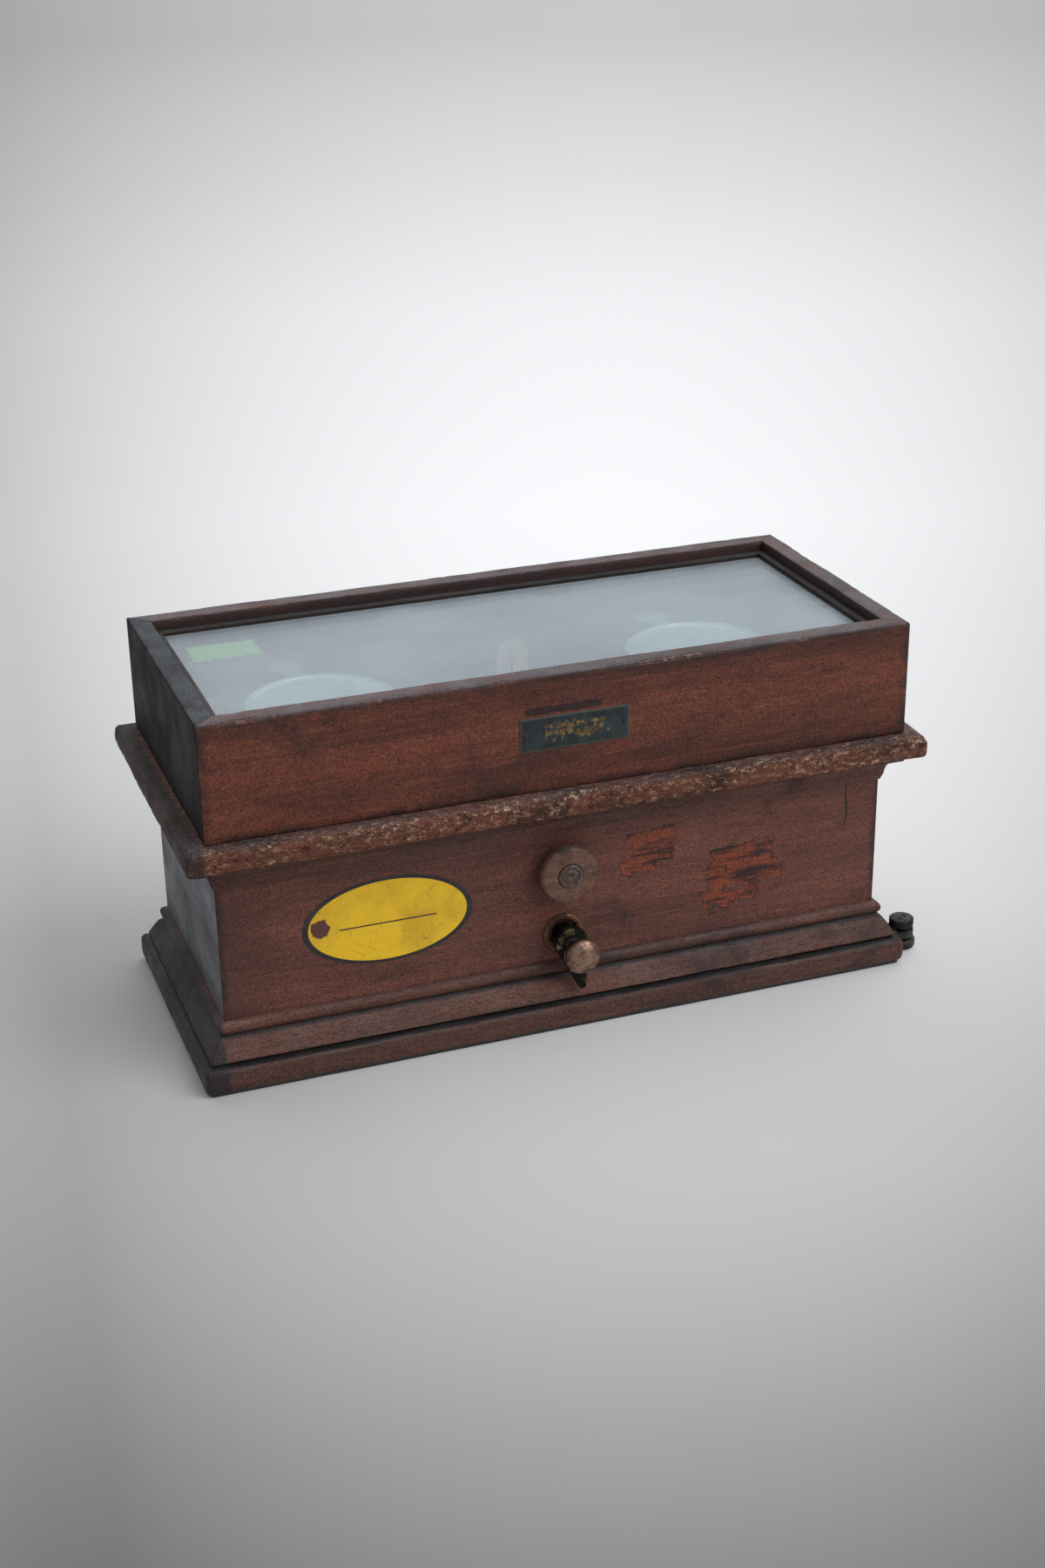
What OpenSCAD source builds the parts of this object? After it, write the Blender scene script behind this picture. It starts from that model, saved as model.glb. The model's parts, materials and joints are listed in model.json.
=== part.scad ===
// Prescription balance of the torsion-band kind, in a wooden case with a glazed lid.
// Millimetres. +X runs right along the front, +Y to the back, +Z up.
// The origin is on the resting face, under the middle of the lid.

/* [Lid] */
// Width of the glazed lid over its boards
lid_w = 384; // [370:1:400]
// Depth of the glazed lid over its boards
lid_d = 167.6; // [162:0.2:176]
// Height of the lid's boards
lid_h = 63; // [60:0.5:72]
// Thickness of the lid's boards
lid_wall = 11.5; // [9:0.5:13]
// Rounding of the lid's top outer edge
lid_edge_r = 1.4; // [0.6:0.2:2.4]

/* [Glazing] */
// Drop from the top of the lid to the top of the glass
glass_drop = 8; // [6:0.5:10]
// Thickness of the glass
glass_t = 2.5; // [2:0.1:3]
// Width of the bead that holds the glass down
bead_w = 4.6; // [3.5:0.1:6]
// Height of that bead
bead_h = 2.8; // [2:0.1:3.5]
// Width of the strip that the glass rests on
stop_w = 5; // [4:0.5:7]
// Height of that strip
stop_h = 6; // [4:0.5:8]

/* [Case] */
// Set-back of the case from the lid at each side
case_inset_x = 6.2; // [4:0.2:10]
// Set-back of the case from the lid at the front and back
case_inset_y = 14.4; // [12:0.2:17]
// Height of the case's boards
case_h = 112.9; // [108:0.1:122]
// Thickness of the case's boards
case_wall = 10; // [8:0.5:12]
// Thickness of the deck board between case and lid
deck_t = 13.5; // [11:0.5:16]
// How far the deck board passes the lid at each side
deck_over_x = 11.2; // [8:0.2:14]
// How far the deck board passes the lid at the front and back
deck_over_y = 8.4; // [7.6:0.2:11]
// Rounding of the deck board's edge
deck_edge_r = 4; // [2:0.5:5]
// Thickness of the plinth board
plinth_t = 14; // [11:0.5:17]
// How far the plinth passes the case all round
plinth_over = 14.6; // [13:0.2:17]
// Thickness of the cloth under the plinth
baize_t = 1.5; // [1:0.1:2]

/* [Mouldings] */
// Height of the base moulding
base_mould_h = 20.5; // [18:0.5:24]
// Depth of the base moulding at its foot
base_mould_d = 10.3; // [9:0.1:12]
// Height of the moulding under the deck board
cove_h = 18; // [14:0.5:22]
// Depth of that moulding at its top
cove_d = 10; // [7:0.5:12]

/* [Balance] */
// Height of the upper beam's pivot above the plinth
pivot_rise = 74.5; // [72:0.5:80]
// Distance between the two beams' pivots
pivot_gap = 44; // [38:1:48]
// Distance from the middle to each pan's pivot
arm = 108; // [102:1:114]
// Height of each beam
beam_h = 10; // [8:0.5:10.5]
// Thickness of each beam
beam_t = 8; // [6:0.5:10]
// Radius of the round bosses that clamp the bands
boss_r = 5.6; // [5:0.1:6.2]
// Width of the steel bands
band_w = 2; // [1.6:0.1:2.4]
// Thickness of the steel bands
band_t = 0.3; // [0.2:0.05:0.4]
// Room between the case's inside and the middle bands' span
centre_room = 25.4; // [24:0.2:26]
// Half the span of the end bands
end_span = 26; // [22:0.5:30]
// Width of the uprights along the beam
upright_w = 12; // [9:0.5:14]
// Thickness of the uprights along the bands
upright_t = 6; // [5:0.5:7]
// Width of the iron bed plate
bed_w = 170; // [150:1:180]
// Room between the iron bed plate and the case's front and back
bed_room = 5.4; // [2:0.2:6.4]
// Thickness of the iron bed plate
bed_t = 6; // [4:0.5:8]
// Radius of the tare poise
poise_r = 6; // [4:0.5:6.5]
// Length of the tare poise
poise_l = 8; // [6:0.5:10]
// Distance from the middle to the middle of the tare rod
poise_x = 52; // [48:1:58]

/* [Pans] */
// Radius of each pan
pan_r = 40.3; // [36:0.1:43]
// Height of the pans' top above the deck
pan_rise = 33; // [28:0.5:36]
// Depth of the pans' rim
pan_rim = 3; // [2.4:0.1:4]
// Thickness of the pans' sheet
pan_t = 1.4; // [1:0.1:1.8]
// Radius of each pan's thumb tab
tab_r = 9; // [7:0.5:10]
// Distance from the pan's middle to its tab's middle
tab_reach = 56; // [50:0.5:58]
// Turn of the tabs from straight back, to the left
tab_turn = 4.6; // [0:0.2:10]
// Radius of the post under each pan
post_r = 3; // [2.5:0.1:4]
// Radius of the holes in the deck for the posts
post_hole_r = 8; // [7:0.5:10]

/* [Index] */
// Width of the index plate
index_w = 18; // [14:0.5:22]
// Height of the top of the index plate above the deck
index_rise = 48; // [44:0.5:48]
// Height of the index plate
index_h = 27; // [20:0.5:30]
// Distance of the index plate behind the middle
index_y = 10; // [9:0.2:14]
// Sideways place of the index plate
index_x = 2; // [0:0.2:3]

/* [Zero knob] */
// Radius of the turned wooden knob
knob_r = 16; // [13:0.5:18]
// Thickness of the knob's disc
knob_t = 7; // [5:0.5:9]
// Gap between the case and the back of the knob's disc
knob_gap = 5; // [4:0.5:8]
// Radius of the metal cap in the knob
knob_cap_r = 6.7; // [5:0.1:8]
// Radius of the knob's spindle
spindle_r = 2.5; // [2:0.1:3]
// Outer radius of the spiral spring
spiral_r = 18; // [17:0.5:19]

/* [Arrest] */
// Height of the arrest shaft above the plinth
arrest_rise = 35.7; // [34:0.1:38]
// Radius of the arrest shaft
arrest_r = 5.5; // [4.5:0.1:6]
// Outer radius of the ring round the arrest shaft
ring_r = 11.6; // [10:0.1:13]
// Radius of the mouth of that ring
mouth_r = 7.7; // [7:0.1:8.5]
// Radius of the lever's knob
lever_knob_r = 9.8; // [8:0.1:11]
// Length of the lever's leaf from the shaft to its tip
leaf_l = 29; // [26:0.5:32]
// Radius of the eccentric
cam_r = 8; // [7:0.1:9]
// How far the eccentric lifts the yoke in a quarter turn
lift = 2.5; // [2:0.1:2.8]

/* [Levelling] */
// Radius of the foot of the levelling screws
foot_r = 8.2; // [7:0.1:9]
// Radius of the head of the levelling screws
head_r = 7; // [6:0.1:8]
// Radius of the levelling screws' shank
shank_r = 3; // [2.5:0.1:3.5]
// Distance of the levelling screws from the plinth's front and back
level_inset = 21; // [15:0.5:28]

/* [Hinges] */
// Length of each hinge of the lid
hinge_l = 44; // [36:1:56]
// Distance of the hinges from the middle
hinge_x = 120; // [90:1:140]
// Outer radius of the hinge knuckles
knuckle_r = 2.6; // [2.2:0.1:2.8]
// Radius of the hinge pins
pin_r = 1.2; // [1:0.1:1.4]
// Thickness of the hinge leaves
leaf_t = 1.2; // [1:0.1:1.4]

/* [Labels] */
// Width of the plate on the lid
plate_w = 59.5; // [50:0.5:66]
// Height of the plate on the lid
plate_h = 18.3; // [14:0.1:22]
// Width of the oval label on the case
oval_w = 92; // [80:1:100]
// Height of the oval label on the case
oval_h = 48.5; // [40:0.5:52]
// Distance from the top moulding down to the oval label
oval_gap = 8.6; // [4:0.2:12]

/* [Clearances] */
// Radial running clearance of shafts and pins
run_gap = 0.06; // [0.03:0.01:0.09]
// Clearance between parts that move apart
free_gap = 0.3; // [0.2:0.05:0.5]
// Radial clearance of the bands in their bosses
band_gap = 0.1; // [0.06:0.01:0.2]
// Half the width of the line at a mitre
mitre_gap = 0.03; // [0.02:0.01:0.06]

/* [Hidden] */

// Height of each layer of the case
plinth_z = baize_t;
wall_z = plinth_z + plinth_t;
deck_z = wall_z + case_h;
deck_top = deck_z + deck_t;
lid_z = deck_top + free_gap;
lid_top = lid_z + lid_h;
glass_top = lid_top - glass_drop;
glass_z = glass_top - glass_t;

// Outlines of the layers
case_w = lid_w - 2 * case_inset_x;
case_d = lid_d - 2 * case_inset_y;
front_y = -case_d / 2;
inner_front_y = front_y + case_wall;
centre_span = -inner_front_y - centre_room;
bed_d = 2 * (-inner_front_y - bed_room);
deck_w = lid_w + 2 * deck_over_x;
deck_d = lid_d + 2 * deck_over_y;
plinth_w = case_w + 2 * plinth_over;
plinth_d = case_d + 2 * plinth_over;
plinth_corner_r = 3;
plinth_edge_r = 3;
level_y = plinth_d / 2 - level_inset;
sight_w = lid_w - 2 * lid_wall;
sight_d = lid_d - 2 * lid_wall;

// Pivots of the balance
upper_z = wall_z + pivot_rise;
lower_z = upper_z - pivot_gap;
bed_top = wall_z + bed_t;
band_bore_r = norm([band_w, band_t]) / 2 + band_gap;
truss_top = upper_z + 14;
truss_bottom = lower_z - 14;
bar_h = 5;
boss_l = beam_t + 4;

// Pans and their posts
pan_top = deck_top + pan_rise;
pan_z = pan_top - pan_rim;
bearer_t = 2;
bearer_r = 20;
bearer_z = pan_z - free_gap - bearer_t;
left = -1;
right = 1;

// Arrest gear
arrest_z = wall_z + arrest_rise;
throw = lift / (2 * sin(45));
yoke_t = 8;
yoke_room = 10.6;
yoke_y = inner_front_y + yoke_room + yoke_t / 2;
yoke_z = arrest_z + cam_r - lift / 2 + free_gap / 2;
arm_z = upper_z - beam_h / 2 - lift - 0.9;
guide_x = 30;
guide_r = 2.5;
finger_x = 14;
finger_w = 5;
finger_h = 4;
yoke_bar_h = 8;
yoke_bar_z = yoke_z + 3.5;

// Zero gear
spiral_y = yoke_y - yoke_t / 2 - 1.6;
spiral_t = 1.5;
spiral_turns = 4;
spiral_wire = 0.5;
arm_rod_r = 1.2;

// Levelling screws
level_x = plinth_w / 2 + foot_r + 0.6;
foot_h = 5.5;
ear_z = foot_h + 1.6;
ear_t = 4;
head_z = ear_z + ear_t + 1.6;
head_h = 5.2;

// Hinges
hinge_y = lid_d / 2 + leaf_t + knuckle_r - 0.3;
hinge_z = deck_top + knuckle_r + 0.6;
knuckles = 5;
knuckle_l = hinge_l / knuckles;
hinge_screw_r = 0.9;
case_leaf_end = deck_d / 2 - 1;

// Index, pointer and the slot in the deck
slot_w = 18;
slot_d = 14;
slot_y = 2.5;
deck_plate_t = 1.2;
index_t = 1.2;
stem_r = 2.2;
index_stem_y = index_y + index_t / 2 + stem_r;
slot_plate_front = slot_y - slot_d / 2 - 3;
slot_plate_back = index_stem_y + 7;
pointer_y = slot_y + 2.5;
pointer_t = 1.2;
pointer_tip = index_rise - 5;

// Tare rods
rod_r = 1.2;
rod_travel = 10;
rod_l = poise_l + 2 * rod_travel + 6;
rod_z = upper_z + beam_h / 2 + poise_r + 0.6;

// Bushes and the arrest lever
arrest_bush_r = 9.6;
knob_bush_r = 5;
leaf_gap = 10;
leaf_plate_t = 4;
lever_knob_gap = 24;
lever_knob_h = 10;
leaf_turn = -77;
leaf_head_r = 9;
leaf_tip_r = 2.2;
cam_t = 5;

// Labels and plate
label_t = 0.25;
oval_x = -96.5;
oval_z = case_h - cove_h - oval_gap - oval_h / 2;
plate_x = 2;
plate_z = 32;
plate_t = 0.8;
nail_inset = 3;
paper_w = 37.5;
paper_d = 23;
paper_inset = 31.4;
paper_x = paper_inset - sight_w / 2;
paper_y = sight_d / 2 - paper_inset;

$fn = 64;

// Points of an arc about [cx, cy], from angle a to angle b
function arc(cx, cy, r, a, b, n = 6) =
    [for (i = [0:n]) [cx + r * cos(a + (b - a) * i / n), cy + r * sin(a + (b - a) * i / n)]];

// Outline of a rectangle with round corners
function rounded(w, d, r) = concat(
    arc(w / 2 - r, d / 2 - r, r, 0, 90),
    arc(r - w / 2, d / 2 - r, r, 90, 180),
    arc(r - w / 2, r - d / 2, r, 180, 270),
    arc(w / 2 - r, r - d / 2, r, 270, 360)
);

// Outline of a leaf: a round head at the origin that narrows to a small round tip along +X
function leaf_outline(head, tip, l) =
    let (a = acos((head - tip) / l))
    concat(arc(0, 0, head, a, 360 - a, 24), arc(l - tip, 0, tip, -a, a, 8));

// Board lying flat, with round corners and round edges
module eased_board(w, d, t, corner_r, edge_r) {
    intersection() {
        linear_extrude(t)
            polygon(rounded(w, d, corner_r));
        translate([0, d, t / 2])
            rotate([90, 0, 0])
                linear_extrude(2 * d)
                    polygon(rounded(w, t, edge_r));
        translate([-w, 0, t / 2])
            rotate([90, 0, 90])
                linear_extrude(2 * w)
                    polygon(rounded(d, t, edge_r));
    }
}

// One mitred side of a frame round a w by d rectangle. Side 0 is the front, then right, back
// and left. The profile's points are [outwards from the rectangle, up].
module frame_side(side, w, d, profile, reach) {
    run = side % 2 == 0 ? w : d;
    off = (side % 2 == 0 ? d : w) / 2;
    top = max([for (p = profile) p[1]]);
    rotate(90 * side)
        intersection() {
            rotate([90, 0, 90])
                linear_extrude(run + 4 * abs(reach), center = true)
                    polygon([for (p = profile) [-off - p[0], p[1]]]);
            linear_extrude(top + 1)
                polygon([
                    for (s = [-1, 1], t = [-s, s])
                        let (along = run / 2 + (s + 1) / 2 * reach - mitre_gap)
                        [t * along, -off - (s + 1) / 2 * reach]
                ]);
        }
}

// Something turned on an axis that comes out of the case's front. Its own Z is the distance
// in front of the case.
module on_front(z) {
    translate([0, front_y, z])
        rotate([90, 0, 0])
            children();
}

// Cylinder along Y from y_low to y_high
module y_rod(x, z, r, y_low, y_high) {
    translate([x, y_high, z])
        rotate([90, 0, 0])
            cylinder(r = r, h = y_high - y_low);
}

// Cylinder along X, centred on x
module x_rod(x, y, z, r, l) {
    translate([x, y, z])
        rotate([0, 90, 0])
            cylinder(r = r, h = l, center = true);
}

// Block given by its low corner and its high corner
module block(low, high) {
    translate(low)
        cube(high - low);
}

// Screw head with a slot, its flat back on the plane z = 0
module screw_head(r, h) {
    difference() {
        cylinder(r = r, h = h);
        translate([-r, -r / 8, h / 2])
            cube([2 * r, r / 4, h]);
    }
}

// Case

module baize() {
    margin = 2;
    color("darkolivegreen")
        linear_extrude(baize_t)
            polygon(rounded(plinth_w - 2 * margin, plinth_d - 2 * margin, plinth_corner_r));
}

module plinth() {
    color([0.29, 0.20, 0.17])
        translate([0, 0, plinth_z])
            eased_board(plinth_w, plinth_d, plinth_t, plinth_corner_r, plinth_edge_r);
}

// Foot, cove and bead of the base moulding
module base_mouldings() {
    foot = 1.6;
    bead = 3.9;
    bead_z = base_mould_h - bead;
    cove_r = bead_z - bead - foot;
    waist = base_mould_d - cove_r * 0.72;
    profile = concat(
        [[0, 0], [base_mould_d, 0], [base_mould_d, foot]],
        [for (a = [10:16:90]) [
            waist + (base_mould_d - waist) * (1 - sin(a)),
            foot + cove_r * (1 - cos(a))
        ]],
        arc(0, bead_z, bead, -70, 90, 8)
    );
    color([0.31, 0.19, 0.16])
        for (side = [0:3])
            translate([0, 0, wall_z])
                frame_side(side, case_w, case_d, profile, 2 * base_mould_d);
}

module case_side(side) {
    profile = [[0, 0], [0, case_h], [-case_wall, case_h], [-case_wall, 0]];
    frame_side(side, case_w, case_d, profile, -2 * case_wall);
}

module case_front() {
    color([0.33, 0.19, 0.16])
        difference() {
            translate([0, 0, wall_z])
                case_side(0);
            y_rod(0, upper_z, knob_bush_r, front_y - 1, inner_front_y + 1);
            y_rod(0, arrest_z, arrest_bush_r, front_y - 1, inner_front_y + 1);
        }
}

module case_right() {
    color([0.31, 0.18, 0.15])
        translate([0, 0, wall_z])
            case_side(1);
}

module case_back() {
    color([0.31, 0.18, 0.15])
        translate([0, 0, wall_z])
            case_side(2);
}

module case_left() {
    color([0.31, 0.18, 0.15])
        translate([0, 0, wall_z])
            case_side(3);
}

// Fillet, cove and small astragal under the deck board
module cove_mouldings() {
    fillet = 5.5;
    neck = 2.2;
    low = 4;
    cove_r = cove_h - fillet - low;
    profile = concat(
        [[0, 0], [0, cove_h], [cove_d, cove_h], [cove_d, cove_h - fillet]],
        [for (a = [0:15:90]) [
            neck + (cove_d - 1.5 - neck) * (1 - sin(a)),
            low + cove_r * cos(a)
        ]],
        [[neck, low]],
        [[0.8, 0]]
    );
    color([0.27, 0.17, 0.14])
        for (side = [0:3])
            translate([0, 0, deck_z - cove_h])
                frame_side(side, case_w, case_d, profile, 2 * cove_d);
}

module deck_board() {
    color([0.42, 0.25, 0.20])
        difference() {
            translate([0, 0, deck_z])
                eased_board(deck_w, deck_d, deck_t, plinth_corner_r, deck_edge_r);
            for (s = [left, right])
                translate([s * arm, 0, deck_z - 1])
                    cylinder(r = post_hole_r, h = deck_t + 2);
            translate([-slot_w / 2, slot_y - slot_d / 2, deck_z - 1])
                cube([slot_w, slot_d, deck_t + 2]);
        }
}

// Brass rings round the post holes and a plate round the pointer's slot
module deck_plates() {
    plate_t = deck_plate_t;
    rim = 4;
    color("goldenrod")
        translate([0, 0, deck_top]) {
            for (s = [left, right])
                translate([s * arm, 0, 0])
                    difference() {
                        cylinder(r = post_hole_r + rim, h = plate_t);
                        translate([0, 0, -1])
                            cylinder(r = post_hole_r, h = plate_t + 2);
                    }
            difference() {
                translate([0, (slot_plate_front + slot_plate_back) / 2, 0])
                    linear_extrude(plate_t)
                        polygon(rounded(slot_w + 2 * rim, slot_plate_back - slot_plate_front, 2));
                translate([-slot_w / 2, slot_y - slot_d / 2, -1])
                    cube([slot_w, slot_d, plate_t + 2]);
            }
        }
}

module oval_label() {
    color("gold")
        translate([oval_x, 0, wall_z + oval_z])
            on_front(0)
                linear_extrude(label_t)
                    polygon([for (a = [0:6:354]) [oval_w / 2 * cos(a), oval_h / 2 * sin(a)]]);
}

// Balance frame

module bed_plate() {
    color([0.16, 0.17, 0.18])
        translate([0, 0, wall_z])
            linear_extrude(bed_t)
                polygon(rounded(bed_w, bed_d, 8));
}

module bed_screws() {
    inset = 9;
    color("silver")
        for (sx = [left, right])
            for (sy = [-1, 1])
                translate([sx * (bed_w / 2 - inset), sy * (bed_d / 2 - inset), bed_top])
                    screw_head(4, 2.2);
}

// Slot through an upright for one band
module band_slot(x, z) {
    slack = 0.05;
    translate([x, 0, z])
        cube([band_w + 2 * slack, 4 * centre_span, band_t + 2 * slack], center = true);
}

// Fixed frame in the middle: two uprights on a foot, with a band across them at each pivot
module centre_truss() {
    foot_h = 7;
    cap = 9;
    color([0.16, 0.17, 0.18])
        difference() {
            union() {
                block(
                    [-upright_w / 2, -centre_span - upright_t, bed_top],
                    [upright_w / 2, centre_span + upright_t, bed_top + foot_h]
                );
                for (s = [-1, 1])
                    translate([-upright_w / 2, s * (centre_span + upright_t / 2) - upright_t / 2, bed_top])
                        cube([upright_w, upright_t, upper_z + cap - bed_top]);
            }
            band_slot(0, upper_z);
            band_slot(0, lower_z);
        }
}

// Upper and lower band, their tails just past the uprights
module bands(x, span) {
    tail = 1.5;
    color("lightsteelblue")
        for (z = [upper_z, lower_z])
            translate([x, 0, z])
                cube([band_w, 2 * (span + upright_t + tail), band_t], center = true);
}

module centre_bands() {
    bands(0, centre_span);
}

// Two posts on the bed that guide the yoke
module arrest_guides() {
    color("silver")
        for (s = [left, right])
            translate([s * guide_x, yoke_y, bed_top])
                cylinder(r = guide_r, h = yoke_bar_z + yoke_bar_h + lift + 2 - bed_top);
}

// Brass ring on the front, with a wide mouth and a bearing behind it
module arrest_bush() {
    ring_h = 1.5;
    mouth = 4;
    color("goldenrod")
        on_front(arrest_z)
            difference() {
                union() {
                    cylinder(r = ring_r, h = ring_h);
                    translate([0, 0, -case_wall])
                        cylinder(r = arrest_bush_r, h = case_wall + ring_h);
                }
                translate([0, 0, -case_wall - 1])
                    cylinder(r = arrest_r + run_gap, h = case_wall + ring_h + 2);
                translate([0, 0, ring_h - mouth])
                    cylinder(r = mouth_r, h = mouth + 1);
            }
}

module knob_bush() {
    flange = 1;
    color("goldenrod")
        on_front(upper_z)
            difference() {
                union() {
                    translate([0, 0, -case_wall])
                        cylinder(r = knob_bush_r, h = case_wall);
                    translate([0, 0, -case_wall - flange])
                        cylinder(r = knob_bush_r + 2, h = flange);
                }
                translate([0, 0, -case_wall - flange - 1])
                    cylinder(r = spindle_r + run_gap, h = case_wall + flange + 2);
            }
}

module index_post() {
    color("goldenrod")
        translate([index_x, index_stem_y, deck_top + deck_plate_t]) {
            cylinder(r = 5, h = 1.6);
            cylinder(r = stem_r, h = index_rise - index_h / 2);
        }
}

module index_plate() {
    color("ivory")
        translate([index_x, index_y + index_t / 2, deck_top + index_rise])
            rotate([90, 0, 0])
                linear_extrude(index_t)
                    polygon(concat(
                        arc(0, -index_w / 2, index_w / 2, 0, 180, 20),
                        [[-index_w / 2, -index_h], [index_w / 2, -index_h]]
                    ));
}

// Brackets on the right side of the plinth that hold the levelling screws
module level_lugs() {
    back_t = 2.5;
    back_h = 10;
    half_w = 7;
    color([0.35, 0.33, 0.30])
        for (s = [-1, 1])
            translate([plinth_w / 2, s * level_y, 0])
                difference() {
                    union() {
                        translate([0, -half_w, ear_z + ear_t - back_h + 2])
                            cube([back_t, 2 * half_w, back_h]);
                        translate([0, -half_w, ear_z])
                            cube([level_x - plinth_w / 2, 2 * half_w, ear_t]);
                        translate([level_x - plinth_w / 2, 0, ear_z])
                            cylinder(r = half_w, h = ear_t);
                    }
                    translate([level_x - plinth_w / 2, 0, 0])
                        cylinder(r = shank_r + run_gap, h = 2 * head_z);
                    translate([level_x - plinth_w / 2, 0, -1])
                        cylinder(r = foot_r + free_gap, h = foot_h + 1 + free_gap);
                }
}

module level_lug_screws() {
    color("silver")
        for (s = [-1, 1])
            for (t = [-1, 1])
                translate([plinth_w / 2, s * level_y + t * 10, plinth_z + plinth_t / 2])
                    rotate([0, 90, 0])
                        screw_head(2, 1.2);
}

// Knuckles of one hinge that belong to one leaf: first is 0 or 1
module knuckle_row(first, r, grow) {
    for (k = [first:2:knuckles - 1])
        x_rod(
            -hinge_l / 2 + (k + 0.5) * knuckle_l,
            hinge_y,
            hinge_z,
            r,
            knuckle_l + grow
        );
}

// Leaf lying on the deck
module case_hinge_leaves() {
    color("darkgoldenrod")
        for (s = [left, right])
            translate([s * hinge_x, 0, 0])
                difference() {
                    union() {
                        block(
                            [-hinge_l / 2, hinge_y - knuckle_r / 2, deck_top],
                            [hinge_l / 2, case_leaf_end, deck_top + leaf_t]
                        );
                        knuckle_row(0, knuckle_r, -0.2);
                        for (k = [0:2:knuckles - 1])
                            block(
                                [-hinge_l / 2 + k * knuckle_l + 0.1, hinge_y - 1, deck_top],
                                [-hinge_l / 2 + (k + 1) * knuckle_l - 0.1, hinge_y + 1, hinge_z]
                            );
                    }
                    knuckle_row(1, knuckle_r + free_gap, 0.2);
                    x_rod(0, hinge_y, hinge_z, pin_r, hinge_l + 2);
                }
}

module hinge_pins() {
    color("goldenrod")
        for (s = [left, right])
            x_rod(s * hinge_x, hinge_y, hinge_z, pin_r, hinge_l);
}

// Heads of three screws along a hinge, on the plane of its leaf
module hinge_screw_row() {
    for (k = [-1:1])
        translate([k * hinge_l / 3, 0, 0])
            screw_head(hinge_screw_r, 0.5);
}

module case_hinge_screws() {
    color("silver")
        for (s = [left, right])
            translate([s * hinge_x, case_leaf_end - hinge_screw_r - 0.1, deck_top + leaf_t])
                hinge_screw_row();
}

// Lid

module lid_side(side) {
    profile = concat(
        [[0, 0]],
        arc(-lid_edge_r, lid_h - lid_edge_r, lid_edge_r, 0, 90),
        [[-lid_wall, lid_h], [-lid_wall, 0]]
    );
    translate([0, 0, lid_z])
        frame_side(side, lid_w, lid_d, profile, -2 * lid_wall);
}

module lid_front() {
    color([0.36, 0.19, 0.15])
        lid_side(0);
}

module lid_right() {
    color([0.34, 0.19, 0.16])
        lid_side(1);
}

module lid_back() {
    color([0.34, 0.19, 0.16])
        lid_side(2);
}

module lid_left() {
    color([0.24, 0.19, 0.18])
        lid_side(3);
}

module glass() {
    play = 0.3;
    color([0.75, 0.82, 0.84, 0.5])
        translate([0, 0, glass_z + glass_t / 2])
            cube([sight_w - 2 * play, sight_d - 2 * play, glass_t], center = true);
}

module glass_stops() {
    color([0.34, 0.20, 0.17])
        for (side = [0:3])
            translate([0, 0, glass_z - stop_h])
                frame_side(
                    side, sight_w, sight_d,
                    [[0, 0], [0, stop_h], [-stop_w, stop_h], [-stop_w, 0]],
                    -2 * stop_w
                );
}

module glazing_beads() {
    profile = concat(
        [[0, 0], [0, bead_h]],
        arc(-bead_w + bead_h / 2, bead_h / 2, bead_h / 2, 90, 180),
        [[-bead_w, 0]]
    );
    color([0.27, 0.20, 0.18])
        for (side = [0:3])
            translate([0, 0, glass_top])
                frame_side(side, sight_w, sight_d, profile, -2 * bead_w);
}

// Places things on the middle of the plate on the lid's front
module on_plate() {
    translate([plate_x, -lid_d / 2, lid_z + plate_z])
        rotate([90, 0, 0])
            children();
}

module name_plate() {
    color([0.16, 0.20, 0.22])
        on_plate()
            linear_extrude(plate_t)
                polygon(rounded(plate_w, plate_h, 1));
}

module plate_nails() {
    nail_h = 0.7;
    color("darkgoldenrod")
        on_plate()
            for (s = [left, right])
                translate([s * (plate_w / 2 - nail_inset), 0, plate_t])
                    cylinder(r1 = 1.1, r2 = 0.6, h = nail_h);
}

// Blank paper label on the underside of the glass
module paper_label() {
    color([0.80, 0.87, 0.78])
        translate([paper_x, paper_y, glass_z - label_t / 2])
            cube([paper_w, paper_d, label_t], center = true);
}

// Leaf on the back of the lid
module lid_hinge_leaves() {
    leaf_h = 15;
    color("darkgoldenrod")
        for (s = [left, right])
            translate([s * hinge_x, 0, 0])
                difference() {
                    union() {
                        block(
                            [-hinge_l / 2, lid_d / 2, hinge_z - 1],
                            [hinge_l / 2, lid_d / 2 + leaf_t, hinge_z + leaf_h]
                        );
                        knuckle_row(1, knuckle_r, -0.2);
                        for (k = [1:2:knuckles - 1])
                            block(
                                [-hinge_l / 2 + k * knuckle_l + 0.1, lid_d / 2, hinge_z - 1],
                                [-hinge_l / 2 + (k + 1) * knuckle_l - 0.1, hinge_y - pin_r - 0.2, hinge_z + 1]
                            );
                    }
                    knuckle_row(0, knuckle_r + free_gap, 0.2);
                    x_rod(0, hinge_y, hinge_z, pin_r + run_gap, hinge_l + 2);
                }
}

module lid_hinge_screws() {
    color("silver")
        for (s = [left, right])
            translate([s * hinge_x, lid_d / 2 + leaf_t, hinge_z + 9])
                rotate([-90, 0, 0])
                    hinge_screw_row();
}

// Moving balance

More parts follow.
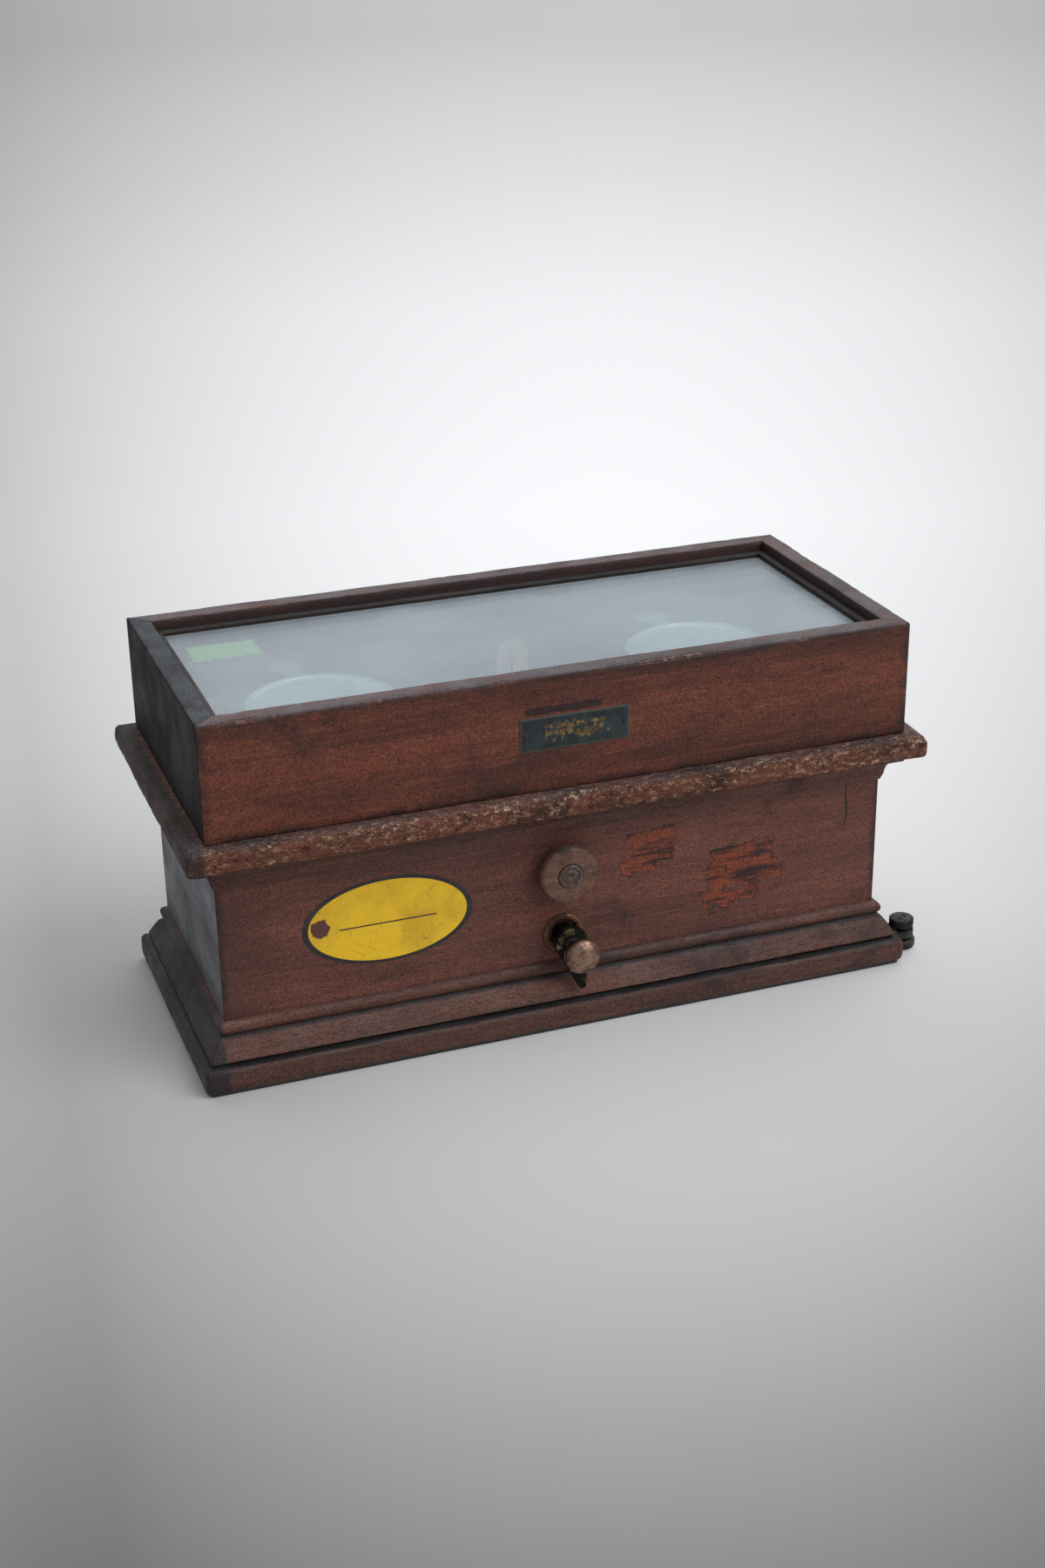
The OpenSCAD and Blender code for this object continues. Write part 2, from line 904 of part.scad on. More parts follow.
// Beam with a bored boss at each band and windows between them
module beam(z) {
    window_h = beam_h - 5;
    window_low = 24;
    window_high = arm - 14;
    window_n = 3;
    window_step = (window_high - window_low) / window_n;
    difference() {
        union() {
            block([-arm, -beam_t / 2, z - beam_h / 2], [arm, beam_t / 2, z + beam_h / 2]);
            for (x = [-arm, 0, arm])
                y_rod(x, z, boss_r, -boss_l / 2, boss_l / 2);
        }
        for (x = [-arm, 0, arm])
            y_rod(x, z, band_bore_r, -boss_l, boss_l);
        for (s = [left, right])
            for (k = [0:window_n - 1])
                translate([s * (window_low + (k + 0.5) * window_step), 0, z])
                    rotate([90, 0, 0])
                        linear_extrude(2 * beam_t, center = true)
                            polygon(rounded(window_step - 6, window_h, window_h / 2 - 0.1));
    }
}

// Upper beam, with the rod at its front that holds the spiral spring
module upper_beam() {
    color([0.62, 0.60, 0.55]) {
        beam(upper_z);
        y_rod(spiral_r, upper_z, arm_rod_r, spiral_y - spiral_t / 2, 1 - beam_t / 2);
    }
}

// Needle that rises from the beam through the deck, in front of the index
module pointer() {
    foot_w = 7;
    stem_w = 2.6;
    z_foot = upper_z + boss_r;
    z_tip = deck_top + pointer_tip;
    color([0.18, 0.20, 0.26]) {
        translate([0, pointer_y + pointer_t / 2, 0])
            rotate([90, 0, 0])
                linear_extrude(pointer_t)
                    polygon([
                        [-foot_w / 2, z_foot], [foot_w / 2, z_foot], [foot_w / 2, z_foot + 4],
                        [stem_w / 2, z_foot + 9], [stem_w / 2, z_tip - 20], [0.25, z_tip],
                        [-0.25, z_tip], [-stem_w / 2, z_tip - 20], [-stem_w / 2, z_foot + 9],
                        [-foot_w / 2, z_foot + 4]
                    ]);
        block(
            [-foot_w / 2, -boss_l / 2, z_foot],
            [foot_w / 2, pointer_y + pointer_t / 2, z_foot + 1.6]
        );
    }
}

// Tare rod on the right and its counterweight on the left, each on two lugs
module tare_rods() {
    lug_w = 3;
    color("goldenrod") {
        for (s = [left, right]) {
            x_rod(s * poise_x, 0, rod_z, rod_r, rod_l);
            for (t = [-1, 1])
                translate([s * poise_x + t * (rod_l - lug_w) / 2, 0, 0])
                    block(
                        [-lug_w / 2, -2.5, upper_z + beam_h / 2],
                        [lug_w / 2, 2.5, rod_z + 3]
                    );
        }
        x_rod(-poise_x, 0, rod_z, poise_r, poise_l);
    }
}

module tare_poise() {
    color("gold")
        difference() {
            x_rod(poise_x, 0, rod_z, poise_r, poise_l);
            x_rod(poise_x, 0, rod_z, rod_r + run_gap, poise_l + 2);
        }
}

// Flat spiral from a ring round the spindle out to the beam's rod
module zero_spring() {
    ring = spindle_r + run_gap;
    start = ring + 0.9;
    end = spiral_r - arm_rod_r - spiral_wire / 2;
    steps = 24 * spiral_turns;
    function spiral_at(i, side) =
        let (r = start + (end - start) * i / steps + side * spiral_wire / 2)
        [r * cos(360 * spiral_turns * i / steps), r * sin(360 * spiral_turns * i / steps)];
    color([0.30, 0.36, 0.50])
        translate([0, spiral_y + spiral_t / 2, upper_z])
            rotate([90, 0, 0]) {
                linear_extrude(spiral_t)
                    polygon(concat(
                        [for (i = [0:steps]) spiral_at(i, 1)],
                        [for (i = [steps:-1:0]) spiral_at(i, -1)]
                    ));
                difference() {
                    cylinder(r = start + spiral_wire / 4, h = spiral_t);
                    translate([0, 0, -1])
                        cylinder(r = ring, h = spiral_t + 2);
                }
                translate([end - spiral_wire, -0.6, 0])
                    cube([1.5 * spiral_wire, 1.2, spiral_t]);
            }
}

module lower_beam() {
    color([0.62, 0.60, 0.55])
        beam(lower_z);
}

// Frame at one end of the beams, with a cross bar at its top and bottom
module end_truss(side) {
    w = 10;
    color([0.62, 0.60, 0.55])
        translate([side * arm, 0, 0])
            difference() {
                union() {
                    for (s = [-1, 1])
                        translate([-w / 2, s * (end_span + upright_t / 2) - upright_t / 2, truss_bottom])
                            cube([w, upright_t, truss_top - truss_bottom]);
                    for (z = [truss_bottom, truss_top - bar_h])
                        block(
                            [-w / 2, -end_span - upright_t, z],
                            [w / 2, end_span + upright_t, z + bar_h]
                        );
                }
                band_slot(0, upper_z);
                band_slot(0, lower_z);
            }
}

module left_truss() {
    end_truss(left);
}

module right_truss() {
    end_truss(right);
}

module left_bands() {
    bands(left * arm, end_span);
}

module right_bands() {
    bands(right * arm, end_span);
}

// Post from the end frame up through the deck, with the bearer that the pan sits on
module pan_post(side) {
    hub_r = 6;
    hub_h = 5;
    color("goldenrod")
        translate([side * arm, 0, 0]) {
            translate([0, 0, truss_top])
                cylinder(r = post_r, h = bearer_z - truss_top);
            translate([0, 0, truss_top])
                cylinder(r = hub_r, h = 3);
            translate([0, 0, bearer_z - hub_h])
                cylinder(r1 = post_r, r2 = hub_r, h = hub_h);
            translate([0, 0, bearer_z])
                cylinder(r = bearer_r, h = bearer_t);
        }
}

module left_post() {
    pan_post(left);
}

module right_post() {
    pan_post(right);
}

// Round pan with a raised rim and a round thumb tab behind it
module pan(side) {
    rim_t = 1.6;
    neck_w = 10;
    color([0.72, 0.86, 0.88])
        translate([side * arm, 0, pan_z]) {
            rotate_extrude($fn = 128)
                polygon(concat(
                    [[0, 0], [pan_r - pan_rim, 0]],
                    arc(pan_r - pan_rim, pan_rim, pan_rim, -75, -10, 5),
                    [[pan_r, pan_rim], [pan_r - rim_t, pan_rim]],
                    [[pan_r - pan_rim - 0.6, pan_t], [0, pan_t]]
                ));
            rotate(tab_turn)
                difference() {
                    union() {
                        translate([0, tab_reach, pan_rim - pan_t])
                            cylinder(r = tab_r, h = pan_t);
                        translate([-neck_w / 2, 0, pan_rim - pan_t])
                            cube([neck_w, tab_reach, pan_t]);
                    }
                    cylinder(r = pan_r - rim_t / 2, h = 4 * pan_rim, center = true);
                }
        }
}

module left_pan() {
    pan(left);
}

module right_pan() {
    pan(right);
}

// Zero knob

module zero_knob() {
    edge_r = 2;
    neck_r = 8;
    front = knob_gap + knob_t;
    color([0.45, 0.33, 0.27])
        on_front(upper_z)
            difference() {
                rotate_extrude($fn = 96)
                    polygon(concat(
                        [[0, free_gap], [neck_r, free_gap], [neck_r, knob_gap]],
                        arc(knob_r - edge_r, knob_gap + edge_r, edge_r, -90, 0),
                        arc(knob_r - edge_r, front - edge_r, edge_r, 0, 80),
                        [[0, front + 0.6]]
                    ));
                translate([0, 0, -1])
                    cylinder(r = spindle_r, h = front);
                translate([0, 0, front - 2])
                    cylinder(r = knob_cap_r, h = 4);
            }
}

// Metal cap let into the knob, with a ring and a dimple
module knob_cap() {
    front = knob_gap + knob_t;
    color([0.62, 0.64, 0.66])
        on_front(upper_z)
            rotate_extrude($fn = 64)
                polygon([
                    [0, front - 2], [knob_cap_r, front - 2], [knob_cap_r, front + 0.4],
                    [knob_cap_r - 0.8, front + 1.2], [knob_cap_r - 1.8, front + 1.2],
                    [knob_cap_r - 2.4, front + 0.5], [1.6, front + 0.7], [0, front - 0.2]
                ]);
}

module knob_spindle() {
    color("silver")
        y_rod(0, upper_z, spindle_r, front_y - knob_gap - knob_t + 2, spiral_y + spiral_t / 2 + 1.4);
}

// Arrest

// Shaft with its eccentric under the yoke
module arrest_shaft() {
    inner_r = 4;
    color([0.10, 0.10, 0.11])
        on_front(arrest_z) {
            translate([0, 0, -case_wall - 1])
                cylinder(r = arrest_r, h = case_wall + 1 + leaf_gap);
            translate([0, 0, front_y - yoke_y - cam_t / 2])
                cylinder(r = inner_r, h = yoke_y - front_y + cam_t / 2);
            translate([throw * cos(45), -throw * sin(45), front_y - yoke_y - cam_t / 2])
                cylinder(r = cam_r, h = cam_t);
        }
}

// Leaf-shaped brass lever behind the knob
module arrest_leaf() {
    stem_r = 4;
    color("goldenrod")
        on_front(arrest_z)
            union() {
                translate([0, 0, leaf_gap])
                    rotate(leaf_turn)
                        linear_extrude(leaf_plate_t)
                            polygon(leaf_outline(leaf_head_r, leaf_tip_r, leaf_l));
                translate([0, 0, leaf_gap + leaf_plate_t])
                    cylinder(r = stem_r, h = lever_knob_gap - leaf_gap - leaf_plate_t);
            }
}

// Domed brass knob
module arrest_knob() {
    dome = 5;
    neck_r = 5;
    color("gold")
        on_front(arrest_z)
            translate([0, 0, lever_knob_gap])
                rotate_extrude($fn = 64)
                    polygon(concat(
                        [[0, 0], [neck_r, 0], [lever_knob_r - 0.6, lever_knob_h - dome - 1.6]],
                        [for (a = [0:10:90]) [
                            lever_knob_r * cos(a),
                            lever_knob_h - dome + dome * sin(a)
                        ]]
                    ));
}

// Yoke that the eccentric raises: a bar on two guides, with a finger under each side of the beam
module arrest_yoke() {
    pad_r = 2.4;
    pad_h = 1;
    shoe_w = 22;
    stem_t = 4;
    bar_half = guide_x + 7;
    color([0.55, 0.47, 0.30])
        difference() {
            union() {
                block(
                    [-bar_half, yoke_y - yoke_t / 2, yoke_bar_z],
                    [bar_half, yoke_y + yoke_t / 2, yoke_bar_z + yoke_bar_h]
                );
                block(
                    [-shoe_w / 2, yoke_y - stem_t / 2, yoke_z],
                    [shoe_w / 2, yoke_y + stem_t / 2, yoke_bar_z + 1]
                );
                for (s = [left, right])
                    translate([s * finger_x - finger_w / 2, 0, 0]) {
                        block(
                            [0, yoke_y - stem_t / 2, yoke_bar_z],
                            [finger_w, yoke_y + stem_t / 2, arm_z - pad_h]
                        );
                        block(
                            [0, yoke_y - stem_t / 2, arm_z - pad_h - finger_h],
                            [finger_w, beam_t / 2, arm_z - pad_h]
                        );
                        translate([finger_w / 2, 0, arm_z - pad_h])
                            cylinder(r = pad_r, h = pad_h);
                    }
            }
            for (s = [left, right])
                translate([s * guide_x, yoke_y, yoke_bar_z - 1])
                    cylinder(r = guide_r + run_gap, h = yoke_bar_h + 2);
        }
}

// Levelling screws

// Foot disc, shank and turned head on one axis
module level_screw(s) {
    edge = 1;
    color([0.62, 0.58, 0.48])
        translate([level_x, s * level_y, 0])
            rotate_extrude($fn = 64)
                polygon([
                    [0, 0], [foot_r - edge, 0], [foot_r, edge], [foot_r, foot_h - edge],
                    [foot_r - edge, foot_h], [shank_r, foot_h], [shank_r, head_z],
                    [head_r - edge, head_z], [head_r, head_z + edge],
                    [head_r, head_z + head_h - edge], [head_r - edge, head_z + head_h],
                    [0, head_z + head_h]
                ]);
}

module front_level_screw() {
    level_screw(-1);
}

module back_level_screw() {
    level_screw(1);
}

baize();
plinth();
base_mouldings();
case_front();
case_right();
case_back();
case_left();
cove_mouldings();
deck_board();
deck_plates();
oval_label();
bed_plate();
bed_screws();
centre_truss();
centre_bands();
arrest_guides();
arrest_bush();
knob_bush();
index_post();
index_plate();
level_lugs();
level_lug_screws();
case_hinge_leaves();
hinge_pins();
case_hinge_screws();
lid_front();
lid_right();
lid_back();
lid_left();
glass();
glass_stops();
glazing_beads();
name_plate();
plate_nails();
paper_label();
lid_hinge_leaves();
lid_hinge_screws();
upper_beam();
pointer();
tare_rods();
zero_spring();
lower_beam();
left_truss();
left_bands();
left_post();
left_pan();
right_truss();
right_bands();
right_post();
right_pan();
tare_poise();
zero_knob();
knob_cap();
knob_spindle();
arrest_shaft();
arrest_leaf();
arrest_knob();
arrest_yoke();
front_level_screw();
back_level_screw();
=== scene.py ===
# %% [markdown]
# # A prescription balance in its wooden case
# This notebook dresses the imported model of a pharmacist's balance. The object is a mahogany case
# with a glazed lid, two pans under the glass, a turned knob and a brass lever on the front.
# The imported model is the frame: each new piece is made where the frame says and rides on its body.

# %% Load the frame
import json
import math

import bmesh
import bpy
from mathutils import Matrix, Vector
from mathutils import noise as perlin


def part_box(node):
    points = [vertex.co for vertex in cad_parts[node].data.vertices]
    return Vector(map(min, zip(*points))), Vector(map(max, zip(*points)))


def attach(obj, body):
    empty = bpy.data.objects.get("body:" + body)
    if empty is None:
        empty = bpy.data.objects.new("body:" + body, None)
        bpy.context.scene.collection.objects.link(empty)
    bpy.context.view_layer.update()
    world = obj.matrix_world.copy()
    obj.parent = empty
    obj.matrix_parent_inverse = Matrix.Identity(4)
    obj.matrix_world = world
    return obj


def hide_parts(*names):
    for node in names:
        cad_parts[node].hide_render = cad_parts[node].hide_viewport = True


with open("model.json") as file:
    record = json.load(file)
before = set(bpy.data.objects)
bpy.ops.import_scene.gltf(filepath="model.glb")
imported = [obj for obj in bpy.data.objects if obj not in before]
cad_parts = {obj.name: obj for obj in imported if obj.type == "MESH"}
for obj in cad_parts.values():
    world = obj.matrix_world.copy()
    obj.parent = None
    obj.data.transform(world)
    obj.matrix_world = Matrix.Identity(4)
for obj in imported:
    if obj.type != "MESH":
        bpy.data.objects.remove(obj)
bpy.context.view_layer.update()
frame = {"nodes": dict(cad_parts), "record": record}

# %% [markdown]
# ## Camera first
# The photograph shows the case from its left front corner, a little above. The lens and the place
# of the camera were solved from the edges of the case, so the picture needs no shift. The camera's
# axes are built from its bearing, its dip and a small roll, and go into one matrix.

# %% Camera
BEARING, DIP, ROLL = (math.radians(angle) for angle in (19.744, 23.82, -0.918))
SENSOR_MM, LENS_MM = 36, 52.325
camera_place = Vector((-0.3845, -1.0804, 0.6156))
ahead = Vector((math.sin(BEARING) * math.cos(DIP), math.cos(BEARING) * math.cos(DIP), -math.sin(DIP)))
level_right = ahead.cross(Vector((0, 0, 1))).normalized()
level_up = level_right.cross(ahead)
right = level_right * math.cos(ROLL) + level_up * math.sin(ROLL)
up = level_up * math.cos(ROLL) - level_right * math.sin(ROLL)


def linked(name, data):
    """A new object in the scene."""
    made = bpy.data.objects.new(name, data)
    bpy.context.scene.collection.objects.link(made)
    return made


lens = bpy.data.cameras.new("studio_camera")
lens.sensor_width, lens.lens = SENSOR_MM, LENS_MM
camera = linked("studio_camera", lens)
camera.matrix_world = Matrix((
    (right.x, up.x, -ahead.x, camera_place.x),
    (right.y, up.y, -ahead.y, camera_place.y),
    (right.z, up.z, -ahead.z, camera_place.z),
    (0, 0, 0, 1),
))
bpy.context.scene.camera = camera
print("camera at", tuple(round(v, 3) for v in camera_place))

# %% [markdown]
# ## Small tools for node trees
# A material is a graph. Helpers keep the graphs readable: one puts a node and wires it, and the
# others make what is used most, such as a stretched noise, a soft step, a band and a colour mix.


# %% Node helpers
def srgb(red, green, blue):
    """Linear colour with alpha from the 0 to 255 numbers of a colour picker."""
    def linear(value):
        value /= 255
        return value / 12.92 if value <= 0.04045 else ((value + 0.055) / 1.055) ** 2.4
    return (linear(red), linear(green), linear(blue), 1.0)


def centred_on(tree, place, node):
    """The place from the middle of a node's box, and half of the box."""
    low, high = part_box(node)
    return vectors(tree, "SUBTRACT", place, (low + high) / 2), (high - low) / 2


def feed(tree, node, wires):
    """Sets inputs of a node: a socket is linked, and a plain value is written."""
    for key, value in wires.items():
        if isinstance(value, bpy.types.NodeSocket):
            tree.links.new(value, node.inputs[key])
        else:
            node.inputs[key].default_value = value


def geo(tree, kind, wires=None, **settings):
    """A node of any kind with its settings. Wires map an input to a socket or to a plain value."""
    made = tree.nodes.new(kind)
    for key, value in settings.items():
        setattr(made, key, value)
    feed(tree, made, wires or {})
    return made


def put(tree, kind, wires=None, **settings):
    """A shader node with its settings, wired as in geo."""
    return geo(tree, "ShaderNode" + kind, wires, **settings)


def noise(tree, vector, stretch, detail=3.0, rough=0.6):
    """Noise whose grains have stretch = (x, y, z) repeats in a metre."""
    if not isinstance(stretch, tuple):
        stretch = (stretch,) * 3
    scaled = vectors(tree, "MULTIPLY", vector, stretch)
    wires = {"Vector": scaled, "Scale": 1.0, "Detail": detail, "Roughness": rough}
    return put(tree, "TexNoise", wires).outputs[0]


def soft_step(tree, value, low, high, from_value=0.0, to_value=1.0):
    """Rises smoothly from from_value at low to to_value at high."""
    wires = {"Value": value, "From Min": low, "From Max": high, "To Min": from_value, "To Max": to_value}
    return put(tree, "MapRange", wires, interpolation_type="SMOOTHSTEP").outputs[0]


def mixed(tree, share, first, second, way="MIX"):
    """Colour that goes from first to second by share."""
    made = put(tree, "Mix", {0: share, 6: first, 7: second}, data_type="RGBA", blend_type=way)
    return made.outputs[2]


def coat(tree, colour, mask, tone, strength=None):
    """The colour under a tone from 0 to 255, where the mask lies."""
    share = mask if strength is None else times(tree, mask, strength)
    return mixed(tree, share, colour, srgb(*tone))


def calc(tree, operation, first, second=0.0, clamp=False):
    """One sum, product or other operation on two values."""
    return put(tree, "Math", {0: first, 1: second}, operation=operation, use_clamp=clamp).outputs[0]


def times(tree, first, second, clamp=False):
    """The product of two values."""
    return calc(tree, "MULTIPLY", first, second, clamp)


def axes(tree, vector):
    """The x, y and z of a vector."""
    return put(tree, "SeparateXYZ", {0: vector}).outputs


def vectors(tree, operation, first, second=(0, 0, 0)):
    """One operation on two vectors: a length or a dot product gives a value."""
    made = put(tree, "VectorMath", {0: first, 1: second}, operation=operation).outputs
    return made["Value"] if operation in ("LENGTH", "DOT_PRODUCT") else made[0]


def scaled_by(tree, vector, factor):
    """A vector or a colour times a value."""
    return put(tree, "VectorMath", {0: vector, "Scale": factor}, operation="SCALE").outputs[0]


def band(tree, value, middle, outer, inner, top=1.0):
    """Rises to top near the middle: nothing beyond outer, all of it within inner."""
    off = calc(tree, "ABSOLUTE", calc(tree, "SUBTRACT", value, middle))
    return soft_step(tree, off, outer, inner, 0.0, top)


def new_group(name, inputs, *outputs):
    """A shader node group: returns its tree, its inputs and its outputs. An input named Vector comes
    first, and each other one is given with its kind or its usual number."""
    tree = bpy.data.node_groups.new(name, "ShaderNodeTree")
    for socket, value in {"Vector": "Vector", **inputs}.items():
        kind = value if isinstance(value, str) else "Float"
        made = tree.interface.new_socket(socket, in_out="INPUT", socket_type="NodeSocket" + kind)
        if kind != value:
            made.default_value = value
    for socket in outputs or ["Mask"]:
        kind = "Color" if socket == "Color" else "Float"
        tree.interface.new_socket(socket, in_out="OUTPUT", socket_type="NodeSocket" + kind)
    source = tree.nodes.new("NodeGroupInput").outputs
    target = tree.nodes.new("NodeGroupOutput").inputs
    print("group", name)
    return tree, source, target


def use(tree, group_tree, wires):
    """Places a group in a material and returns its outputs."""
    return put(tree, "Group", wires, node_tree=group_tree).outputs


# %% [markdown]
# ## Effects that many finishes share
# Each effect is one node group: the grain of mahogany, fine speckle, stains, dust on what faces up,
# which also stands for a painted sheen there, nearness to the edges of a box, where dirt and painted
# shade go, the ragged border of a mask, and scratches.

# %% Grain of mahogany
grain_tree, gi, go = new_group("Mahogany grain", {"Heart": "Color", "Dark": "Color", "Light": "Color"},
                               "Color", "Height")
figure = noise(grain_tree, gi["Vector"], (5, 42, 42), 4)
streak = noise(grain_tree, gi["Vector"], (16, 460, 460), 4, 0.7)
ribbon = noise(grain_tree, gi["Vector"], (60, 150, 150), 3)
pore = soft_step(grain_tree, noise(grain_tree, gi["Vector"], (150, 1700, 1700), 2), 0.58, 0.68)
tone = mixed(grain_tree, soft_step(grain_tree, figure, 0.34, 0.66), gi["Dark"], gi["Heart"])
tone = mixed(grain_tree, soft_step(grain_tree, streak, 0.42, 0.78, 0, 0.55), tone, gi["Light"])
tone = mixed(grain_tree, soft_step(grain_tree, ribbon, 0.4, 0.7, 0, 0.35), tone, gi["Dark"])
pore_tone = mixed(grain_tree, 0.6, tone, (0.01, 0.006, 0.004, 1))
grain_tree.links.new(mixed(grain_tree, pore, tone, pore_tone), go["Color"])
height = calc(grain_tree, "SUBTRACT", times(grain_tree, streak, 0.5), pore)
grain_tree.links.new(height, go["Height"])

# %% Fine speckle
speckle_tree, gi, go = new_group("Fine speckle", {"Color": "Color", "Strength": 0.3}, "Color", "Height")
fine = noise(speckle_tree, gi["Vector"], 1150, 2, 0.8)
centred = times(speckle_tree, calc(speckle_tree, "SUBTRACT", fine, 0.5), 4.0)
gain = calc(speckle_tree, "ADD", times(speckle_tree, centred, gi["Strength"]), 1.0)
lit = scaled_by(speckle_tree, gi["Color"], gain)
speckle_tree.links.new(lit, go["Color"])
speckle_tree.links.new(fine, go["Height"])

# %% Stains and flakes
stain_tree, gi, go = new_group("Stains", {"Repeats": 12.0, "Start": 0.55, "End": 0.7})
scaled = scaled_by(stain_tree, gi["Vector"], gi["Repeats"])
blots = noise(stain_tree, scaled, 1, 7, 0.68)
stain_tree.links.new(soft_step(stain_tree, blots, gi["Start"], gi["End"]), go["Mask"])

# %% Dust and painted sheen on upward faces
dust_and_sheen_tree, gi, go = new_group("Dust", {"Amount": 0.5})
facing = axes(dust_and_sheen_tree, put(dust_and_sheen_tree, "NewGeometry").outputs["Normal"])[2]
lying = soft_step(dust_and_sheen_tree, facing, 0.5, 0.95)
patchy = soft_step(dust_and_sheen_tree, noise(dust_and_sheen_tree, gi["Vector"], 55, 6, 0.7), 0.3, 0.7, 0.35, 1)
dust_and_sheen_mask = times(dust_and_sheen_tree, times(dust_and_sheen_tree, lying, patchy), gi["Amount"], clamp=True)
dust_and_sheen_tree.links.new(dust_and_sheen_mask, go["Mask"])

# %% Nearness to the edges of a box
edge_tree, gi, go = new_group("Near a box edge", {"Low": "Vector", "High": "Vector", "Width": 0.004})
from_low = vectors(edge_tree, "SUBTRACT", gi["Vector"], gi["Low"])
from_high = vectors(edge_tree, "SUBTRACT", gi["High"], gi["Vector"])
nearest = vectors(edge_tree, "MINIMUM", from_low, from_high)
depth_x, depth_y, depth_z = axes(edge_tree, nearest)
smaller = calc(edge_tree, "MINIMUM", depth_x, depth_y)
larger = calc(edge_tree, "MAXIMUM", depth_x, depth_y)
second = calc(edge_tree, "MAXIMUM", smaller, calc(edge_tree, "MINIMUM", larger, depth_z))
edge_tree.links.new(soft_step(edge_tree, second, gi["Width"], 0.0), go["Mask"])

# %% Broken edge of a mask
ragged_tree, gi, go = new_group("Ragged mask", {"Field": 0.0, "Repeats": 400.0, "Raggedness": 0.8}, "Mask", "Rim")
scaled = scaled_by(ragged_tree, gi["Vector"], gi["Repeats"])
torn = calc(ragged_tree, "SUBTRACT", noise(ragged_tree, scaled, 1, 5, 0.7), 0.5)
torn = calc(ragged_tree, "ADD", times(ragged_tree, torn, gi["Raggedness"]), gi["Field"])
ragged_tree.links.new(soft_step(ragged_tree, torn, 0.46, 0.54), go["Mask"])
rising = soft_step(ragged_tree, torn, 0.30, 0.46)
rim = times(ragged_tree, rising, soft_step(ragged_tree, torn, 0.68, 0.50))
ragged_tree.links.new(rim, go["Rim"])

# %% Scratches
scratch_tree, gi, go = new_group("Scratches", {"Amount": 0.5})
lines = None
for turn, stretch in ((0.35, (26, 1300, 1300)), (-0.6, (40, 1500, 1500)), (1.3, (30, 1400, 1400))):
    turned = put(scratch_tree, "Mapping", {"Vector": gi["Vector"], "Rotation": (turn, turn, turn)}).outputs[0]
    line = soft_step(scratch_tree, noise(scratch_tree, turned, stretch, 1, 0.4), 0.70, 0.76)
    lines = line if lines is None else calc(scratch_tree, "MAXIMUM", lines, line)
scratch_tree.links.new(times(scratch_tree, lines, gi["Amount"]), go["Mask"])


# %% Effects by name
def blotted(tree, place, repeats, start, end):
    """Mask of the Stains group."""
    return use(tree, stain_tree, {"Vector": place, "Repeats": repeats, "Start": start, "End": end})["Mask"]


def ragged(tree, place, field, repeats, raggedness):
    """Mask and rim of the Ragged mask group."""
    return use(tree, ragged_tree, {"Vector": place, "Field": field, "Repeats": repeats, "Raggedness": raggedness})


def near_edge(tree, place, box, width):
    """Mask of the Near a box edge group."""
    return use(tree, edge_tree, {"Vector": place, "Low": box[0], "High": box[1], "Width": width})["Mask"]


def speckled(tree, place, colour, strength):
    """Colour and height of the Fine speckle group."""
    return use(tree, speckle_tree, {"Vector": place, "Color": colour, "Strength": strength})


# %% [markdown]
# ## Wood finishes
# The case is old varnished mahogany. Every board shares one recipe, and differs in its tones,
# its dirt and painted shade, its flaking varnish and its dust, which is also a painted sheen on
# upward faces. The blue-grey tones of the case's left side are a painted reflection, and the
# near-black ones of the lid's left side are painted shade. Boards that run round the case follow
# their own UV map, so the grain turns the corner with them. The Principled shader stays in the
# material.


# %% Wood recipe
def new_material(name):
    """An empty material: returns it, its tree, its shader and Object coordinates, the frame's own."""
    material = bpy.data.materials.new(name)
    material.use_nodes = True
    tree = material.node_tree
    tree.nodes.clear()
    shader = put(tree, "BsdfPrincipled")
    output = tree.nodes.new("ShaderNodeOutputMaterial")
    tree.links.new(shader.outputs[0], output.inputs[0])
    return material, tree, shader, put(tree, "TexCoord").outputs["Object"]


def bump(tree, shader, height, strength, distance):
    """Feeds a height to the shader's normal."""
    made = put(tree, "Bump", {"Height": height, "Strength": strength, "Distance": distance})
    tree.links.new(made.outputs[0], shader.inputs["Normal"])


